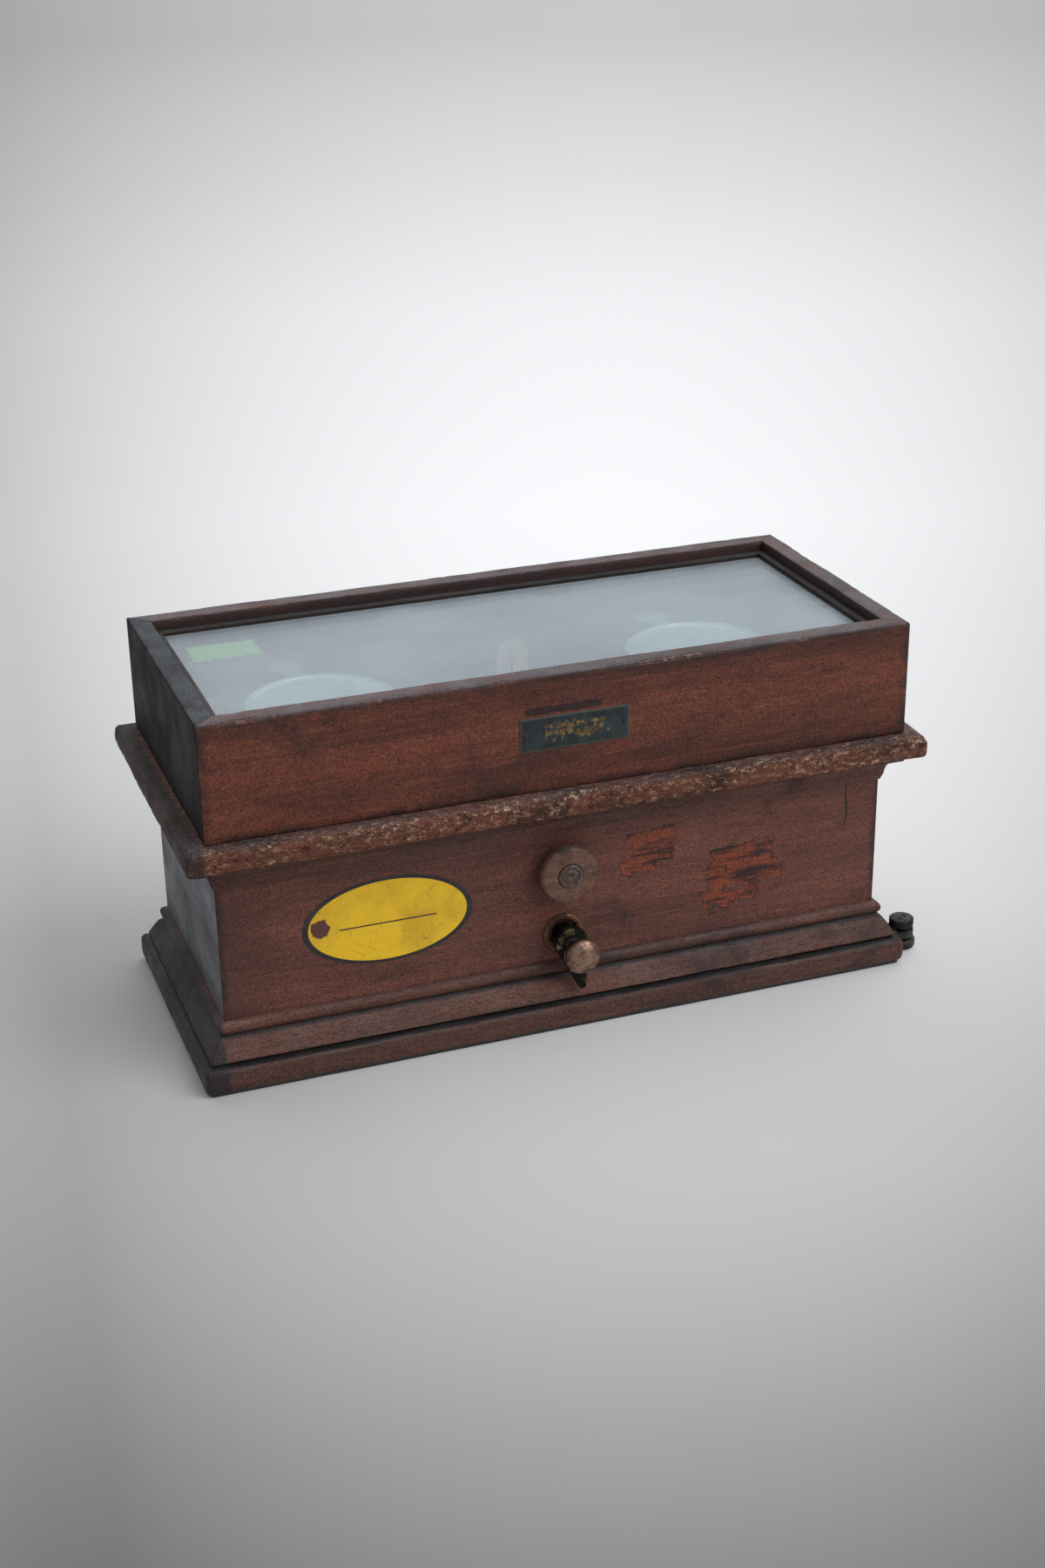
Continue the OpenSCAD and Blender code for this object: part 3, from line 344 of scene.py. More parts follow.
def wood(name, tones, follow_uv=True, stains=(14, 0.54, 0.66), stain_and_shade_tone=(38, 25, 22),
         edges=None, edge_width=0.004, worn=(150, 112, 92), wear=0.5, flakes=None, dust_and_sheen=0.3,
         dust_and_sheen_tone=(104, 108, 114), speckle=1.0, rough=(0.42, 0.66), gloss=0.36, extra=None):
    """Old varnished mahogany. Tones are heart, dark and light, each red, green, blue from 0 to 255."""
    material, tree, shader, place = new_material(name)
    along = put(tree, "TexCoord").outputs["UV"] if follow_uv else place
    heart, dark, light = (srgb(*tone) for tone in tones)
    grain = use(tree, grain_tree, {"Vector": along, "Heart": heart, "Dark": dark, "Light": light})
    colour = grain["Color"]
    stained = blotted(tree, place, *stains)
    colour = coat(tree, colour, stained, stain_and_shade_tone, 0.7)
    # Darker near the box's edges: dirt, and at the case's top edge also painted shade under the deck.
    if edges:
        near = near_edge(tree, place, edges, edge_width)
        patchy = soft_step(tree, noise(tree, place, 90, 5), 0.35, 0.6, 0.3, 0.9)
        colour = coat(tree, colour, near, stain_and_shade_tone, patchy)
    mask = None
    if flakes:
        tone, amount = flakes
        broad = blotted(tree, place, 60, amount, amount + 0.2)
        small = soft_step(tree, noise(tree, place, (240, 460, 460), 7, 0.78), 0.50, 0.60)
        x, y, _ = axes(tree, place)
        middle, half = (lid_low + lid_high) / 2, (lid_high - lid_low) / 2
        under_lid = calc(tree, "MINIMUM", band(tree, x, middle.x, half.x, half.x - 4 * MM),
                         band(tree, y, middle.y, half.y, half.y - 4 * MM))
        outside = calc(tree, "SUBTRACT", 1.0, under_lid)
        mask = times(tree, times(tree, broad, small), outside)
        colour = coat(tree, colour, mask, tone, 0.75)
        dark_bits = blotted(tree, place, 210, 0.56, 0.64)
        colour = coat(tree, colour, times(tree, dark_bits, outside), (44, 27, 24), 0.8)
    rub = put(tree, "Attribute", attribute_name="rub").outputs["Fac"]
    rubbed = ragged(tree, place, times(tree, rub, wear), 300, 1.3)["Mask"]
    colour = coat(tree, colour, rubbed, worn, 0.8)
    if extra:
        colour = extra(tree, place, colour)
    # Upward faces turn blue-grey: dust, and also a painted sheen of the sky's light on them.
    dust_and_sheen_mask = use(tree, dust_and_sheen_tree, {"Vector": place, "Amount": dust_and_sheen})["Mask"]
    colour = coat(tree, colour, dust_and_sheen_mask, dust_and_sheen_tone)
    final = speckled(tree, place, colour, speckle)
    matt = soft_step(tree, noise(tree, place, 38, 5), 0.3, 0.7, *rough)
    matt = calc(tree, "ADD", matt, times(tree, rubbed, 0.15), clamp=True)
    feed(tree, shader, {"Base Color": final["Color"], "Roughness": matt, "Specular IOR Level": gloss})
    relief = calc(tree, "ADD", grain["Height"], times(tree, final["Height"], 0.8))
    relief = calc(tree, "SUBTRACT", relief, times(tree, rubbed, 0.5))
    if mask:
        relief = calc(tree, "SUBTRACT", relief, times(tree, mask, 2.0))
    bump(tree, shader, relief, 0.5, 0.00025)
    print("wood", name)
    return material


def corners(*names):
    """Low and high corner of several nodes together."""
    boxes = [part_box(name) for name in names]
    low = Vector([min(b[0][i] for b in boxes) for i in range(3)])
    high = Vector([max(b[1][i] for b in boxes) for i in range(3)])
    return low, high


LID_NODES = ("lid_front", "lid_right", "lid_back", "lid_left")
CASE_NODES = ("case_front", "case_right", "case_back", "case_left")
lid_low, lid_high = corners(*LID_NODES)
case_low, case_high = corners(*CASE_NODES)
MM = 0.001


# %% [markdown]
# ## Scars, painted shade and seams
# The front has two scars where the varnish is gone, with raw streaked wood and dark, ragged
# borders. Its boards carry a field named scar, high inside a scar. The material and the shape both
# read it, so the colour and the shallow hollow always agree. A crack runs down from the moulding
# near the right end. Painted shade makes the left side and the inside of the lid's frame nearly
# black, and darkens the front's left end and its top under the deck and the line under the bead.
# The line between moulding and plinth is dark with dirt and painted shade, and a dark ragged strip
# above the name plate is a painted shadow.

# %% Extra marks and painted shade of some woods
CRACK_X, CRACK_LOW = 0.1664, 0.082
STRIP_X, STRIP_Z = -0.004, 0.1866
SEAM_Z, BEAD_FOOT_Z = 0.0002, 0.0127


def scarred(tree, place, colour):
    """Raw wood inside the scars, dark flakes on their rims, the crack, and painted shade at the left end and along
    the top under the deck.
    """
    field = put(tree, "Attribute", attribute_name="scar").outputs["Fac"]
    torn = ragged(tree, place, field, 330, 1.25)
    streaks = noise(tree, place, (20, 190, 190), 6, 0.66)
    raw = mixed(tree, soft_step(tree, streaks, 0.40, 0.54), srgb(48, 27, 30), srgb(126, 60, 38))
    pale = soft_step(tree, noise(tree, place, (40, 420, 420), 3), 0.56, 0.72, 0, 0.5)
    raw = mixed(tree, pale, raw, srgb(150, 82, 52))
    colour = mixed(tree, torn["Mask"], colour, raw)
    colour = coat(tree, colour, torn["Rim"], (44, 28, 30), 0.6)
    around = times(tree, soft_step(tree, field, 0.0, 0.2), blotted(tree, place, 320, 0.56, 0.62))
    colour = coat(tree, colour, around, (40, 26, 28), 0.8)
    x, _, z = axes(tree, place)
    wander = times(tree, calc(tree, "SUBTRACT", noise(tree, place, 60, 2), 0.5), 0.004)
    crack = times(tree, band(tree, calc(tree, "SUBTRACT", x, wander), CRACK_X, 0.0006, 0.0002),
                  soft_step(tree, z, CRACK_LOW, CRACK_LOW + 0.006))
    # Painted shade: darker towards the board's left end and along its top under the deck.
    end_and_top_painted_shade = calc(tree, "MAXIMUM", soft_step(tree, x, case_low.x + 0.045, case_low.x, 0, 0.4),
                  soft_step(tree, z, case_high.z - 0.03, case_high.z - 0.008, 0, 0.4))
    colour = coat(tree, colour, end_and_top_painted_shade, (30, 20, 18))
    return coat(tree, colour, crack, (14, 9, 8))


def plate_and_frame_painted_shade(tree, place, colour):
    """A dark ragged strip above the plate, painted as its shadow, and the painted shade inside the frame."""
    x, _, z = axes(tree, place)
    # Painted shadow: a dark ragged strip above the plate.
    inside = times(tree, band(tree, x, STRIP_X, 0.024, 0.017), band(tree, z, STRIP_Z, 0.0034, 0.0006))
    torn = ragged(tree, place, inside, 210, 1.2)["Mask"]
    colour = coat(tree, colour, torn, (26, 18, 18), 0.85)
    return inner_painted_shade(tree, place, colour)


def inner_painted_shade(tree, place, colour):
    """Painted shade on the faces inside the lid's frame."""
    x, y, _ = axes(tree, place)
    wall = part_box("lid_front")[1].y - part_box("lid_front")[0].y
    middle = (lid_low + lid_high) / 2
    half_x, half_y = (lid_high.x - lid_low.x) / 2 - wall, (lid_high.y - lid_low.y) / 2 - wall
    # Painted shade on the inner faces of the lid's frame, a recess.
    inside = times(tree, band(tree, x, middle.x, half_x + 0.0012, half_x + 0.0002),
                   band(tree, y, middle.y, half_y + 0.0012, half_y + 0.0002))
    return coat(tree, colour, inside, (34, 32, 36), 0.72)


def side_painted_shade(tree, place, colour, start, end, strength, tone):
    """Painted shade on a left side: it grows from x = start to x = end."""
    there = soft_step(tree, axes(tree, place)[0], start, end)
    return coat(tree, colour, there, tone, strength)


def deck_left_painted_shade(tree, place, colour):
    """Painted shade on the deck board's left edge, which stands further out than the case."""
    return side_painted_shade(tree, place, colour, lid_low.x - 0.001, lid_low.x - 0.004, 0.75, (40, 37, 38))


def seam_and_side_painted_shade(tree, place, colour):
    """Dirt and painted shade in the line between the base moulding and the plinth, painted shade under the bead, and
    painted shade on the left side.
    """
    z = axes(tree, place)[2]
    # Dirt and painted shade in the line at the moulding's foot, and painted shade under the bead.
    line = band(tree, z, case_low.z + SEAM_Z, 0.0016, 0.0008)
    under_bead_painted_shade = band(tree, z, case_low.z + BEAD_FOOT_Z, 0.0018, 0.0004, 0.85)
    colour = mixed(tree, calc(tree, "MAXIMUM", line, under_bead_painted_shade), colour, srgb(20, 13, 12))
    return side_painted_shade(tree, place, colour, case_low.x - 0.0005, case_low.x - 0.003, 0.85, (32, 29, 30))


case_edges = (case_low, case_high)
lid_edges = (lid_low, lid_high)
case_wood = wood("case_wood", ((112, 66, 54), (84, 48, 40), (132, 82, 66)), edges=case_edges,
                 edge_width=0.005, stains=(16, 0.56, 0.7), extra=scarred)
# Painted reflection: the case's left side gets blue-grey tones for the sky's glare on it.
side_wood = wood("side_wood", ((100, 102, 106), (52, 50, 54), (130, 134, 140)), edges=case_edges,
                 worn=(112, 96, 90), rough=(0.34, 0.55))
lid_wood = wood("lid_wood", ((108, 54, 37), (70, 34, 24), (130, 73, 52)), edges=lid_edges, extra=plate_and_frame_painted_shade,
                edge_width=0.007, worn=(136, 96, 82), wear=0.56, stains=(13, 0.55, 0.68), dust_and_sheen=0.62)
# Painted shade: the lid's left side is given nearly black tones.
lid_left_painted_shade_wood = wood("lid_left_painted_shade_wood", ((33, 29, 29), (23, 20, 21), (44, 39, 39)), edges=lid_edges, extra=inner_painted_shade,
                     worn=(132, 104, 96), wear=0.56, dust_and_sheen=0.62, rough=(0.55, 0.8), gloss=0.1)
deck_wood = wood("deck_wood", ((110, 62, 46), (66, 37, 30), (132, 86, 66)), flakes=((170, 136, 110), 0.34),
                 worn=(186, 160, 140), wear=0.54, stains=(30, 0.52, 0.64), rough=(0.55, 0.8), gloss=0.22,
                 extra=deck_left_painted_shade)
plinth_wood = wood("plinth_wood", ((88, 54, 45), (58, 36, 30), (106, 70, 56)), worn=(104, 74, 62), wear=0.36,
                   dust_and_sheen=0.1, extra=seam_and_side_painted_shade)
moulding_wood = wood("moulding_wood", ((102, 62, 50), (68, 41, 33), (122, 80, 64)), worn=(130, 88, 66), wear=0.42,
                     dust_and_sheen=0.15, extra=seam_and_side_painted_shade)
bead_wood = wood("bead_wood", ((40, 27, 24), (22, 16, 15), (58, 42, 36)), wear=0.4, dust_and_sheen=0.1, speckle=0.3)

# %% [markdown]
# ## Metals, enamel, cloth and paper
# Metals share one recipe too: a clean tone, a tarnish that gathers in blots, and fine scratches.
# The tarnish makes the surface rougher. Dull, tarnished pieces and the pans are less than wholly
# metallic, so they take more of the plain light.


# %% Metal recipe
def metal(name, clean, tarnish, rough=(0.25, 0.5), cover=(0.45, 0.62), repeats=90, scratches=0.4, metallic=1.0):
    """Old metal with blots of tarnish and fine scratches."""
    material, tree, shader, place = new_material(name)
    blots = blotted(tree, place, repeats, cover[0], cover[1])
    lines = use(tree, scratch_tree, {"Vector": place, "Amount": scratches})["Mask"]
    colour = mixed(tree, blots, srgb(*clean), srgb(*tarnish))
    brighter = srgb(*(min(255, tone * 1.25) for tone in clean))
    colour = mixed(tree, lines, colour, brighter)
    final = speckled(tree, place, colour, 0.16)
    feed(tree, shader, {"Base Color": final["Color"], "Metallic": metallic,
                        "Roughness": soft_step(tree, blots, 0, 1, *rough)})
    relief = calc(tree, "SUBTRACT", final["Height"], calc(tree, "ADD", lines, blots))
    bump(tree, shader, relief, 0.35, 0.00008)
    print("metal", name)
    return material


METALS = {
    "iron": dict(clean=(58, 60, 62), tarnish=(34, 31, 30), rough=(0.45, 0.7), metallic=0.6),
    "beam_metal": dict(clean=(172, 170, 164), tarnish=(120, 116, 108), rough=(0.3, 0.5)),
    "band_steel": dict(clean=(176, 182, 190), tarnish=(120, 124, 130), rough=(0.2, 0.4), repeats=200),
    "spring_steel": dict(clean=(120, 128, 140), tarnish=(82, 84, 92), rough=(0.25, 0.4)),
    "needle_steel": dict(clean=(88, 92, 98), tarnish=(50, 50, 54), rough=(0.25, 0.45)),
    "screw_steel": dict(clean=(158, 156, 150), tarnish=(96, 88, 78), rough=(0.3, 0.55), repeats=240),
    "brass": dict(clean=(196, 158, 92), tarnish=(134, 100, 58), rough=(0.28, 0.5)),
    "aged_brass": dict(clean=(112, 76, 56), tarnish=(66, 42, 34), rough=(0.42, 0.65), cover=(0.38, 0.56),
                       repeats=130, scratches=0.4, metallic=0.7),
    "lever_brass": dict(clean=(150, 122, 104), tarnish=(104, 76, 66), rough=(0.36, 0.6), cover=(0.4, 0.6),
                        repeats=150, scratches=0.8),
    "leaf_brass": dict(clean=(132, 120, 88), tarnish=(36, 34, 30), rough=(0.35, 0.6), cover=(0.36, 0.5),
                       repeats=110, scratches=0.6),
    "pan_metal": dict(clean=(206, 234, 232), tarnish=(170, 202, 200), rough=(0.28, 0.48), repeats=40,
                      metallic=0.55),
    "black_steel": dict(clean=(42, 44, 46), tarnish=(22, 22, 24), rough=(0.25, 0.5), metallic=0.8),
    "cap_metal": dict(clean=(104, 112, 118), tarnish=(96, 74, 64), rough=(0.42, 0.65), cover=(0.4, 0.52),
                      repeats=120, scratches=0.9, metallic=0.75),
    "lug_metal": dict(clean=(70, 72, 68), tarnish=(46, 42, 40), rough=(0.4, 0.65), cover=(0.4, 0.6),
                      repeats=150, scratches=0.5, metallic=0.8),
}
metals = {name: metal(name, **settings) for name, settings in METALS.items()}

# %% Green cloth under the plinth
baize, tree, shader, place = new_material("baize")
fibres = noise(tree, place, 2600, 3, 0.8)
felt = mixed(tree, soft_step(tree, fibres, 0.35, 0.65), srgb(20, 26, 24), srgb(44, 56, 50))
feed(tree, shader, {"Base Color": felt, "Roughness": 0.95, "Sheen Weight": 0.3})
bump(tree, shader, fibres, 0.6, 0.0003)

# %% [markdown]
# ## Hazy glass
# The pane is old and dusty. In the photograph it shows a pale blue-grey haze with the pans faint
# below. The haze is a film of dust and, in part, a painted reflection of the bright studio, so the
# pane is a pale surface with a plain Alpha below one half: most of the light passes, and the pans
# and the paper label show under it from every side.

# %% Glass
glass_material, tree, shader, place = new_material("glass")
haze = soft_step(tree, noise(tree, place, (5, 9, 5), 3), 0.35, 0.65)
# Dust, and in part a painted reflection: the pale blue-grey tint stands for the bright studio in the pane.
dust_and_reflection_tint = mixed(tree, haze, srgb(199, 209, 217), srgb(214, 228, 234))
near = near_edge(tree, place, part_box("glass"), 0.03)
grime = times(tree, near, soft_step(tree, noise(tree, place, 35, 6, 0.7), 0.4, 0.75, 0, 0.5))
dust_and_reflection_tint = mixed(tree, grime, dust_and_reflection_tint, srgb(150, 154, 158))
dusty = speckled(tree, place, dust_and_reflection_tint, 0.1)
smears = soft_step(tree, noise(tree, place, (30, 14, 30), 5, 0.7), 0.4, 0.7, 0.10, 0.24)
feed(tree, shader, {"Base Color": dusty["Color"], "Roughness": smears, "Alpha": 0.4, "IOR": 1.45})

# %% [markdown]
# ## Shapes with worn edges
# A board here is a profile that runs along one side of a box, cut to a mitre at both ends. Every
# arris is rounded, and at each station along the run a smooth noise pushes it inwards a little,
# as years of handling do. The push is kept in an attribute named rub, which the finish reads.


# %% Profiles and runs
FLAT_STEP, LEAST_RUB = 0.8, 0.3


def eased(outline, near=2.0, steps=3):
    """Profile points from corners (out, up, radius). Each has its place, its share of rubbing and
    the way to the inside."""
    points = []
    for index, (x, y, radius) in enumerate(outline):
        here = Vector((x, y))
        before = (Vector(outline[index - 1][:2]) - here).normalized()
        after = (Vector(outline[(index + 1) % len(outline)][:2]) - here).normalized()
        still = Vector((0, 0))
        if not radius:
            points.append((here, 0.0, still))
            continue
        inward = (before + after).normalized()
        half = before.angle(after) / 2
        reach = radius / math.tan(half)
        centre = here + inward * (radius / math.sin(half))
        begin, end = here + before * reach - centre, here + after * reach - centre
        first = math.atan2(begin.y, begin.x)
        sweep = (math.atan2(end.y, end.x) - first + math.pi) % (2 * math.pi) - math.pi
        flat = (near, near + FLAT_STEP) if near > reach else ()
        points += [(here + before * away, 0.0, still) for away in reversed(flat)]
        for k in range(steps + 1):
            angle = first + sweep * k / steps
            points.append((centre + radius * Vector((math.cos(angle), math.sin(angle))), 1.0, inward))
        points += [(here + after * away, 0.0, still) for away in flat]
    return points


def filled(points, step):
    """The same profile with more points, so that no gap between two is longer than step."""
    result = []
    for index, (place, rub, inward) in enumerate(points):
        result.append((place, rub, inward))
        following = points[(index + 1) % len(points)]
        count = math.ceil((following[0] - place).length / step)
        for k in range(1, count):
            result.append((place.lerp(following[0], k / count), 0.0, Vector((0, 0))))
    return result


def dent(run, seed, depth):
    """How deep an arris is worn at this place on its run, in millimetres, and the share of that."""
    slow = max(0.0, perlin.noise(Vector((run / 31, seed * 7.3, 0.4))) * 0.9 + 0.25)
    quick = max(0.0, perlin.noise(Vector((run / 5.5, seed * 3.1, 2.7))) - 0.12)
    share = min(1.0, 0.75 * slow + 0.9 * quick)
    return depth * share, share


def layers(mesh_data):
    """The rub layer and the UV layer of a mesh in the making."""
    rub = mesh_data.verts.layers.float.get("rub") or mesh_data.verts.layers.float.new("rub")
    uv = mesh_data.loops.layers.uv.get("UVMap") or mesh_data.loops.layers.uv.new("UVMap")
    return rub, uv


def rubbed_vertex(mesh_data, rub_layer, spot, rub, worn_share):
    """A vertex at a spot in millimetres that keeps how much it is rubbed."""
    vertex = mesh_data.verts.new(spot * MM)
    vertex[rub_layer] = rub * (LEAST_RUB + (1 - LEAST_RUB) * worn_share)
    return vertex


def add_run(mesh_data, side, width, depth, base, points, wear, step=2.5, gap=0.1):
    """One mitred side of a frame round a width by depth rectangle, in millimetres."""
    rub_layer, uv_layer = layers(mesh_data)
    half = (width if side % 2 == 0 else depth) / 2
    off = (depth if side % 2 == 0 else width) / 2
    turn = Matrix.Rotation(math.radians(90 * side), 3, "Z")
    lengths = [0.0]
    for index in range(len(points)):
        lengths.append(lengths[-1] + (points[(index + 1) % len(points)][0] - points[index][0]).length)
    count = max(2, round(2 * half / step))
    rings = []
    for i in range(count + 1):
        share = -1 + 2 * i / count
        ring = []
        for k, (place, rub, inward) in enumerate(points):
            along = share * (half + place.x - gap)
            worn, worn_share = dent(along, side + 4.0 * round(place.x / 9 + place.y / 17), wear)
            spot = place + inward * worn * rub
            spot = turn @ Vector((along, -off - spot.x, base + spot.y))
            ring.append(rubbed_vertex(mesh_data, rub_layer, spot, rub, worn_share))
        rings.append(ring)
    total = len(points)
    shift = side * 0.713 + base * 0.0131
    for i in range(count):
        for k in range(total):
            nxt = (k + 1) % total
            face = mesh_data.faces.new((rings[i][k], rings[i][nxt], rings[i + 1][nxt], rings[i + 1][k]))
            reach = [-half + 2 * half * (i + j) / count for j in (0, 0, 1, 1)]
            across = [lengths[k], lengths[k + 1], lengths[k + 1], lengths[k]]
            for loop, u, v in zip(face.loops, reach, across):
                loop[uv_layer].uv = (u * MM + shift, v * MM)
    for ring in (rings[0], rings[-1]):
        face = mesh_data.faces.new(ring)
        for loop, (place, _, _) in zip(face.loops, points):
            loop[uv_layer].uv = (shift + place.x * MM, place.y * MM)


def add_slab(mesh_data, width, depth, base, corner, points, wear, step=2.5):
    """A board that lies flat, in millimetres. Points go round its edge from below to above, out of
    the outline, which has round corners."""
    rub_layer, uv_layer = layers(mesh_data)
    counts = (round((depth - 2 * corner) / step), round((width - 2 * corner) / step)) * 2
    arc = 4

    def loop_at(inset):
        w, d, r = width / 2 - inset, depth / 2 - inset, max(corner - inset, 0.02)
        spots = []
        for q, (cx, cy) in enumerate(((w - r, d - r), (r - w, d - r), (r - w, r - d), (w - r, r - d))):
            for k in range(arc + 1):
                angle = math.pi / 2 * (q + k / arc)
                spots.append((Vector((cx + r * math.cos(angle), cy + r * math.sin(angle))),
                              Vector((math.cos(angle), math.sin(angle)))))
            nx, ny = ((r - w, d - r), (r - w, r - d), (w - r, r - d), (w - r, d - r))[q]
            angle = math.pi / 2 * (q + 1)
            out = Vector((math.cos(angle), math.sin(angle)))
            start, stop = Vector((cx, cy)) + out * r, Vector((nx, ny)) + out * r
            for k in range(1, counts[(q + 1) % 2]):
                spots.append((start.lerp(stop, k / counts[(q + 1) % 2]), out))
        return spots

    rings, across = [], 0.0
    spans = []
    for index, (place, rub, inward) in enumerate(points):
        if index:
            across += (place - points[index - 1][0]).length
        spans.append(across)
        ring, run, last = [], 0.0, None
        for spot, out in loop_at(-place.x):
            run += (spot - last).length if last else 0.0
            last = spot
            worn, worn_share = dent(run, 3.0 + round(place.y / 7), wear)
            moved = spot + out * inward.x * worn * rub
            moved = Vector((moved.x, moved.y, base + place.y + inward.y * worn * rub))
            ring.append((rubbed_vertex(mesh_data, rub_layer, moved, rub, worn_share), run))
        rings.append(ring)
    total = len(rings[0])
    for j in range(len(rings) - 1):
        for k in range(total):
            nxt = (k + 1) % total
            corner_list = (rings[j][k], rings[j][nxt], rings[j + 1][nxt], rings[j + 1][k])
            face = mesh_data.faces.new([item[0] for item in corner_list])
            base_run = rings[0][k][1]
            ahead_run = rings[0][nxt][1] if nxt else base_run + step
            for loop, u, v in zip(face.loops, (base_run, ahead_run, ahead_run, base_run),
                                  (spans[j], spans[j], spans[j + 1], spans[j + 1])):
                loop[uv_layer].uv = (u * MM, v * MM)
    for ring in (rings[0], rings[-1]):
        face = mesh_data.faces.new([item[0] for item in ring])
        for loop in face.loops:
            loop[uv_layer].uv = (loop.vert.co.x + 0.3, loop.vert.co.y + 0.5)


# %% From mesh data to a piece
def closed_mesh(name, mesh_data):
    """A mesh from data in the making, with its faces turned outwards."""
    bmesh.ops.recalc_face_normals(mesh_data, faces=mesh_data.faces)
    mesh = bpy.data.meshes.new(name)
    mesh_data.to_mesh(mesh)
    mesh_data.free()
    return mesh


def add_piece(name, mesh_data, body, slot, material, *replaced, angle=32):
    """Closes a mesh in the making and makes it a piece that rides on its body."""
    return ride_mesh(name, closed_mesh(name, mesh_data), body, slot, material, *replaced, angle=angle)


def ride_mesh(name, mesh, body, slot, material, *replaced, angle=32):
    """A finished mesh as a piece: its material, smooth shading, body and replaced nodes. The slot is not used."""
    mesh.materials.clear()
    mesh.materials.append(material)
    mesh.shade_smooth()
    mesh.set_sharp_from_angle(angle=math.radians(angle))
    made = linked(name, mesh)
    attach(made, body)
    if replaced:
        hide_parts(*replaced)
    print(name, len(mesh.polygons), "faces")
    return made


def evaluated(made):
    """The mesh of an object after its modifiers. The object is removed."""
    graph = bpy.context.evaluated_depsgraph_get()
    result = bpy.data.meshes.new_from_object(made.evaluated_get(graph))
    bpy.data.objects.remove(made)
    return result


def cutter(shape):
    """A tool for the Boolean modifier, made from mesh data in the making."""
    return linked("cutter", closed_mesh("cutter", shape))


def drill(radius, low, high, place):
    """A round cutter from low to high on the axis of place."""
    shape = bmesh.new()
    add_turned(shape, [(0, low), (radius, low), (radius, high), (0, high)], place, 64)
    return cutter(shape)


def skin(mesh_data, rings):
    """Faces between neighbouring rings, and one that closes each end."""
    for a, b in zip(rings, rings[1:]):
        for k in range(len(a)):
            mesh_data.faces.new((a[k], a[(k + 1) % len(a)], b[(k + 1) % len(a)], b[k]))
    mesh_data.faces.new(rings[0])
    mesh_data.faces.new(rings[-1])


def add_flat(mesh_data, edge, hub, steps, place):
    """A flat shape with eased edges. Steps are (inset, height), and an inset point moves towards
    the hub of its place."""
    rings = []
    for inset, height in steps:
        ring = []
        for x, y in edge:
            spot = Vector((x, y))
            spot -= (spot - Vector(hub(x, y))).normalized() * inset
            ring.append(mesh_data.verts.new(place @ Vector((spot.x, spot.y, height)) * MM))
        rings.append(ring)
    skin(mesh_data, rings)


def bored(name, mesh_data, cutters):
    """The mesh with holes, as a new mesh. The cutters are removed after."""
    made = linked(name, closed_mesh(name, mesh_data))
    for tool in cutters:
        modifier = made.modifiers.new("BOOLEAN", "BOOLEAN")
        modifier.operation, modifier.solver, modifier.object = "DIFFERENCE", "EXACT", tool
    result = evaluated(made)
    for tool in cutters:
        bpy.data.objects.remove(tool)
    return result


def add_turned(mesh_data, points, place, segments=96):
    """A turned shape: points are (radius, height) from one end of the axis to the other."""
    rings = []
    for radius, height in points:
        if radius == 0:
            rings.append([mesh_data.verts.new(place @ Vector((0, 0, height)) * MM)])
            continue
        ring = []
        for k in range(segments):
            angle = 2 * math.pi * k / segments
            spot = Vector((radius * math.cos(angle), radius * math.sin(angle), height))
            ring.append(mesh_data.verts.new(place @ spot * MM))
        rings.append(ring)
    for low, high in zip(rings, rings[1:]):
        for k in range(segments):
            nxt = (k + 1) % segments
            four = [low[k % len(low)], low[nxt % len(low)], high[nxt % len(high)], high[k % len(high)]]
            unique = list(dict.fromkeys(four))
            if len(unique) > 2:
                mesh_data.faces.new(unique)


def turned(name, outline, place, segments, body, slot, material, *replaced, angle=32, weld=False):
    """A turned shape as a piece. A ring outline ends where it starts, and is welded there."""
    shape = bmesh.new()
    add_turned(shape, outline, place, segments)
    if weld:
        bmesh.ops.remove_doubles(shape, verts=shape.verts, dist=1e-7)
    add_piece(name, shape, body, slot, material, *replaced, angle=angle)


def mm_box(name):
    """Low and high corner of a node in millimetres."""
    low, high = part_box(name)
    return low / MM, high / MM


# %% [markdown]
# ## The lid's frame
# Four mitred boards. Only the top outer arris is rounded in the frame, so the visible boards add
# small rounds and wear to all their arrises.

# %% Lid boards
low, high = corners(*LID_NODES)
lid_w, lid_d, lid_h, lid_z = (high.x - low.x) / MM, (high.y - low.y) / MM, (high.z - low.z) / MM, low.z / MM
lid_wall = (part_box("lid_front")[1].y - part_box("lid_front")[0].y) / MM
lid_profile = eased([(0, 0, 0.5), (0, lid_h, 1.4), (-lid_wall, lid_h, 0.8), (-lid_wall, 0, 0.4)])
for side, name in enumerate(LID_NODES):
    board = bmesh.new()
    add_run(board, side, lid_w, lid_d, lid_z, lid_profile, 0.7, gap=0.2)
    finish = lid_left_painted_shade_wood if name == "lid_left" else lid_wood
    add_piece(name + "_board", board, "lid", "lid_wood", finish, name)

# %% [markdown]
# ## The case's boards
# The front board needs a fine grid, because the scars are real hollows in it. The holes for the
# knob's bearing and the lever's bearing are cut with a Boolean modifier, which is then applied.


# %% Scar field
SCARS = ((50, 93, 13, 10), (43, 82, 10, 3.5), (104, 77.5, 18, 6.5), (106, 67, 21, 6.5), (97, 54, 15, 4))
SCAR_LEAN, SCAR_DEPTH = 0.02, 0.45
KNOB_HOLE_R, LEVER_HOLE_R, POST_HOLE_R = 5.0, 9.6, 8


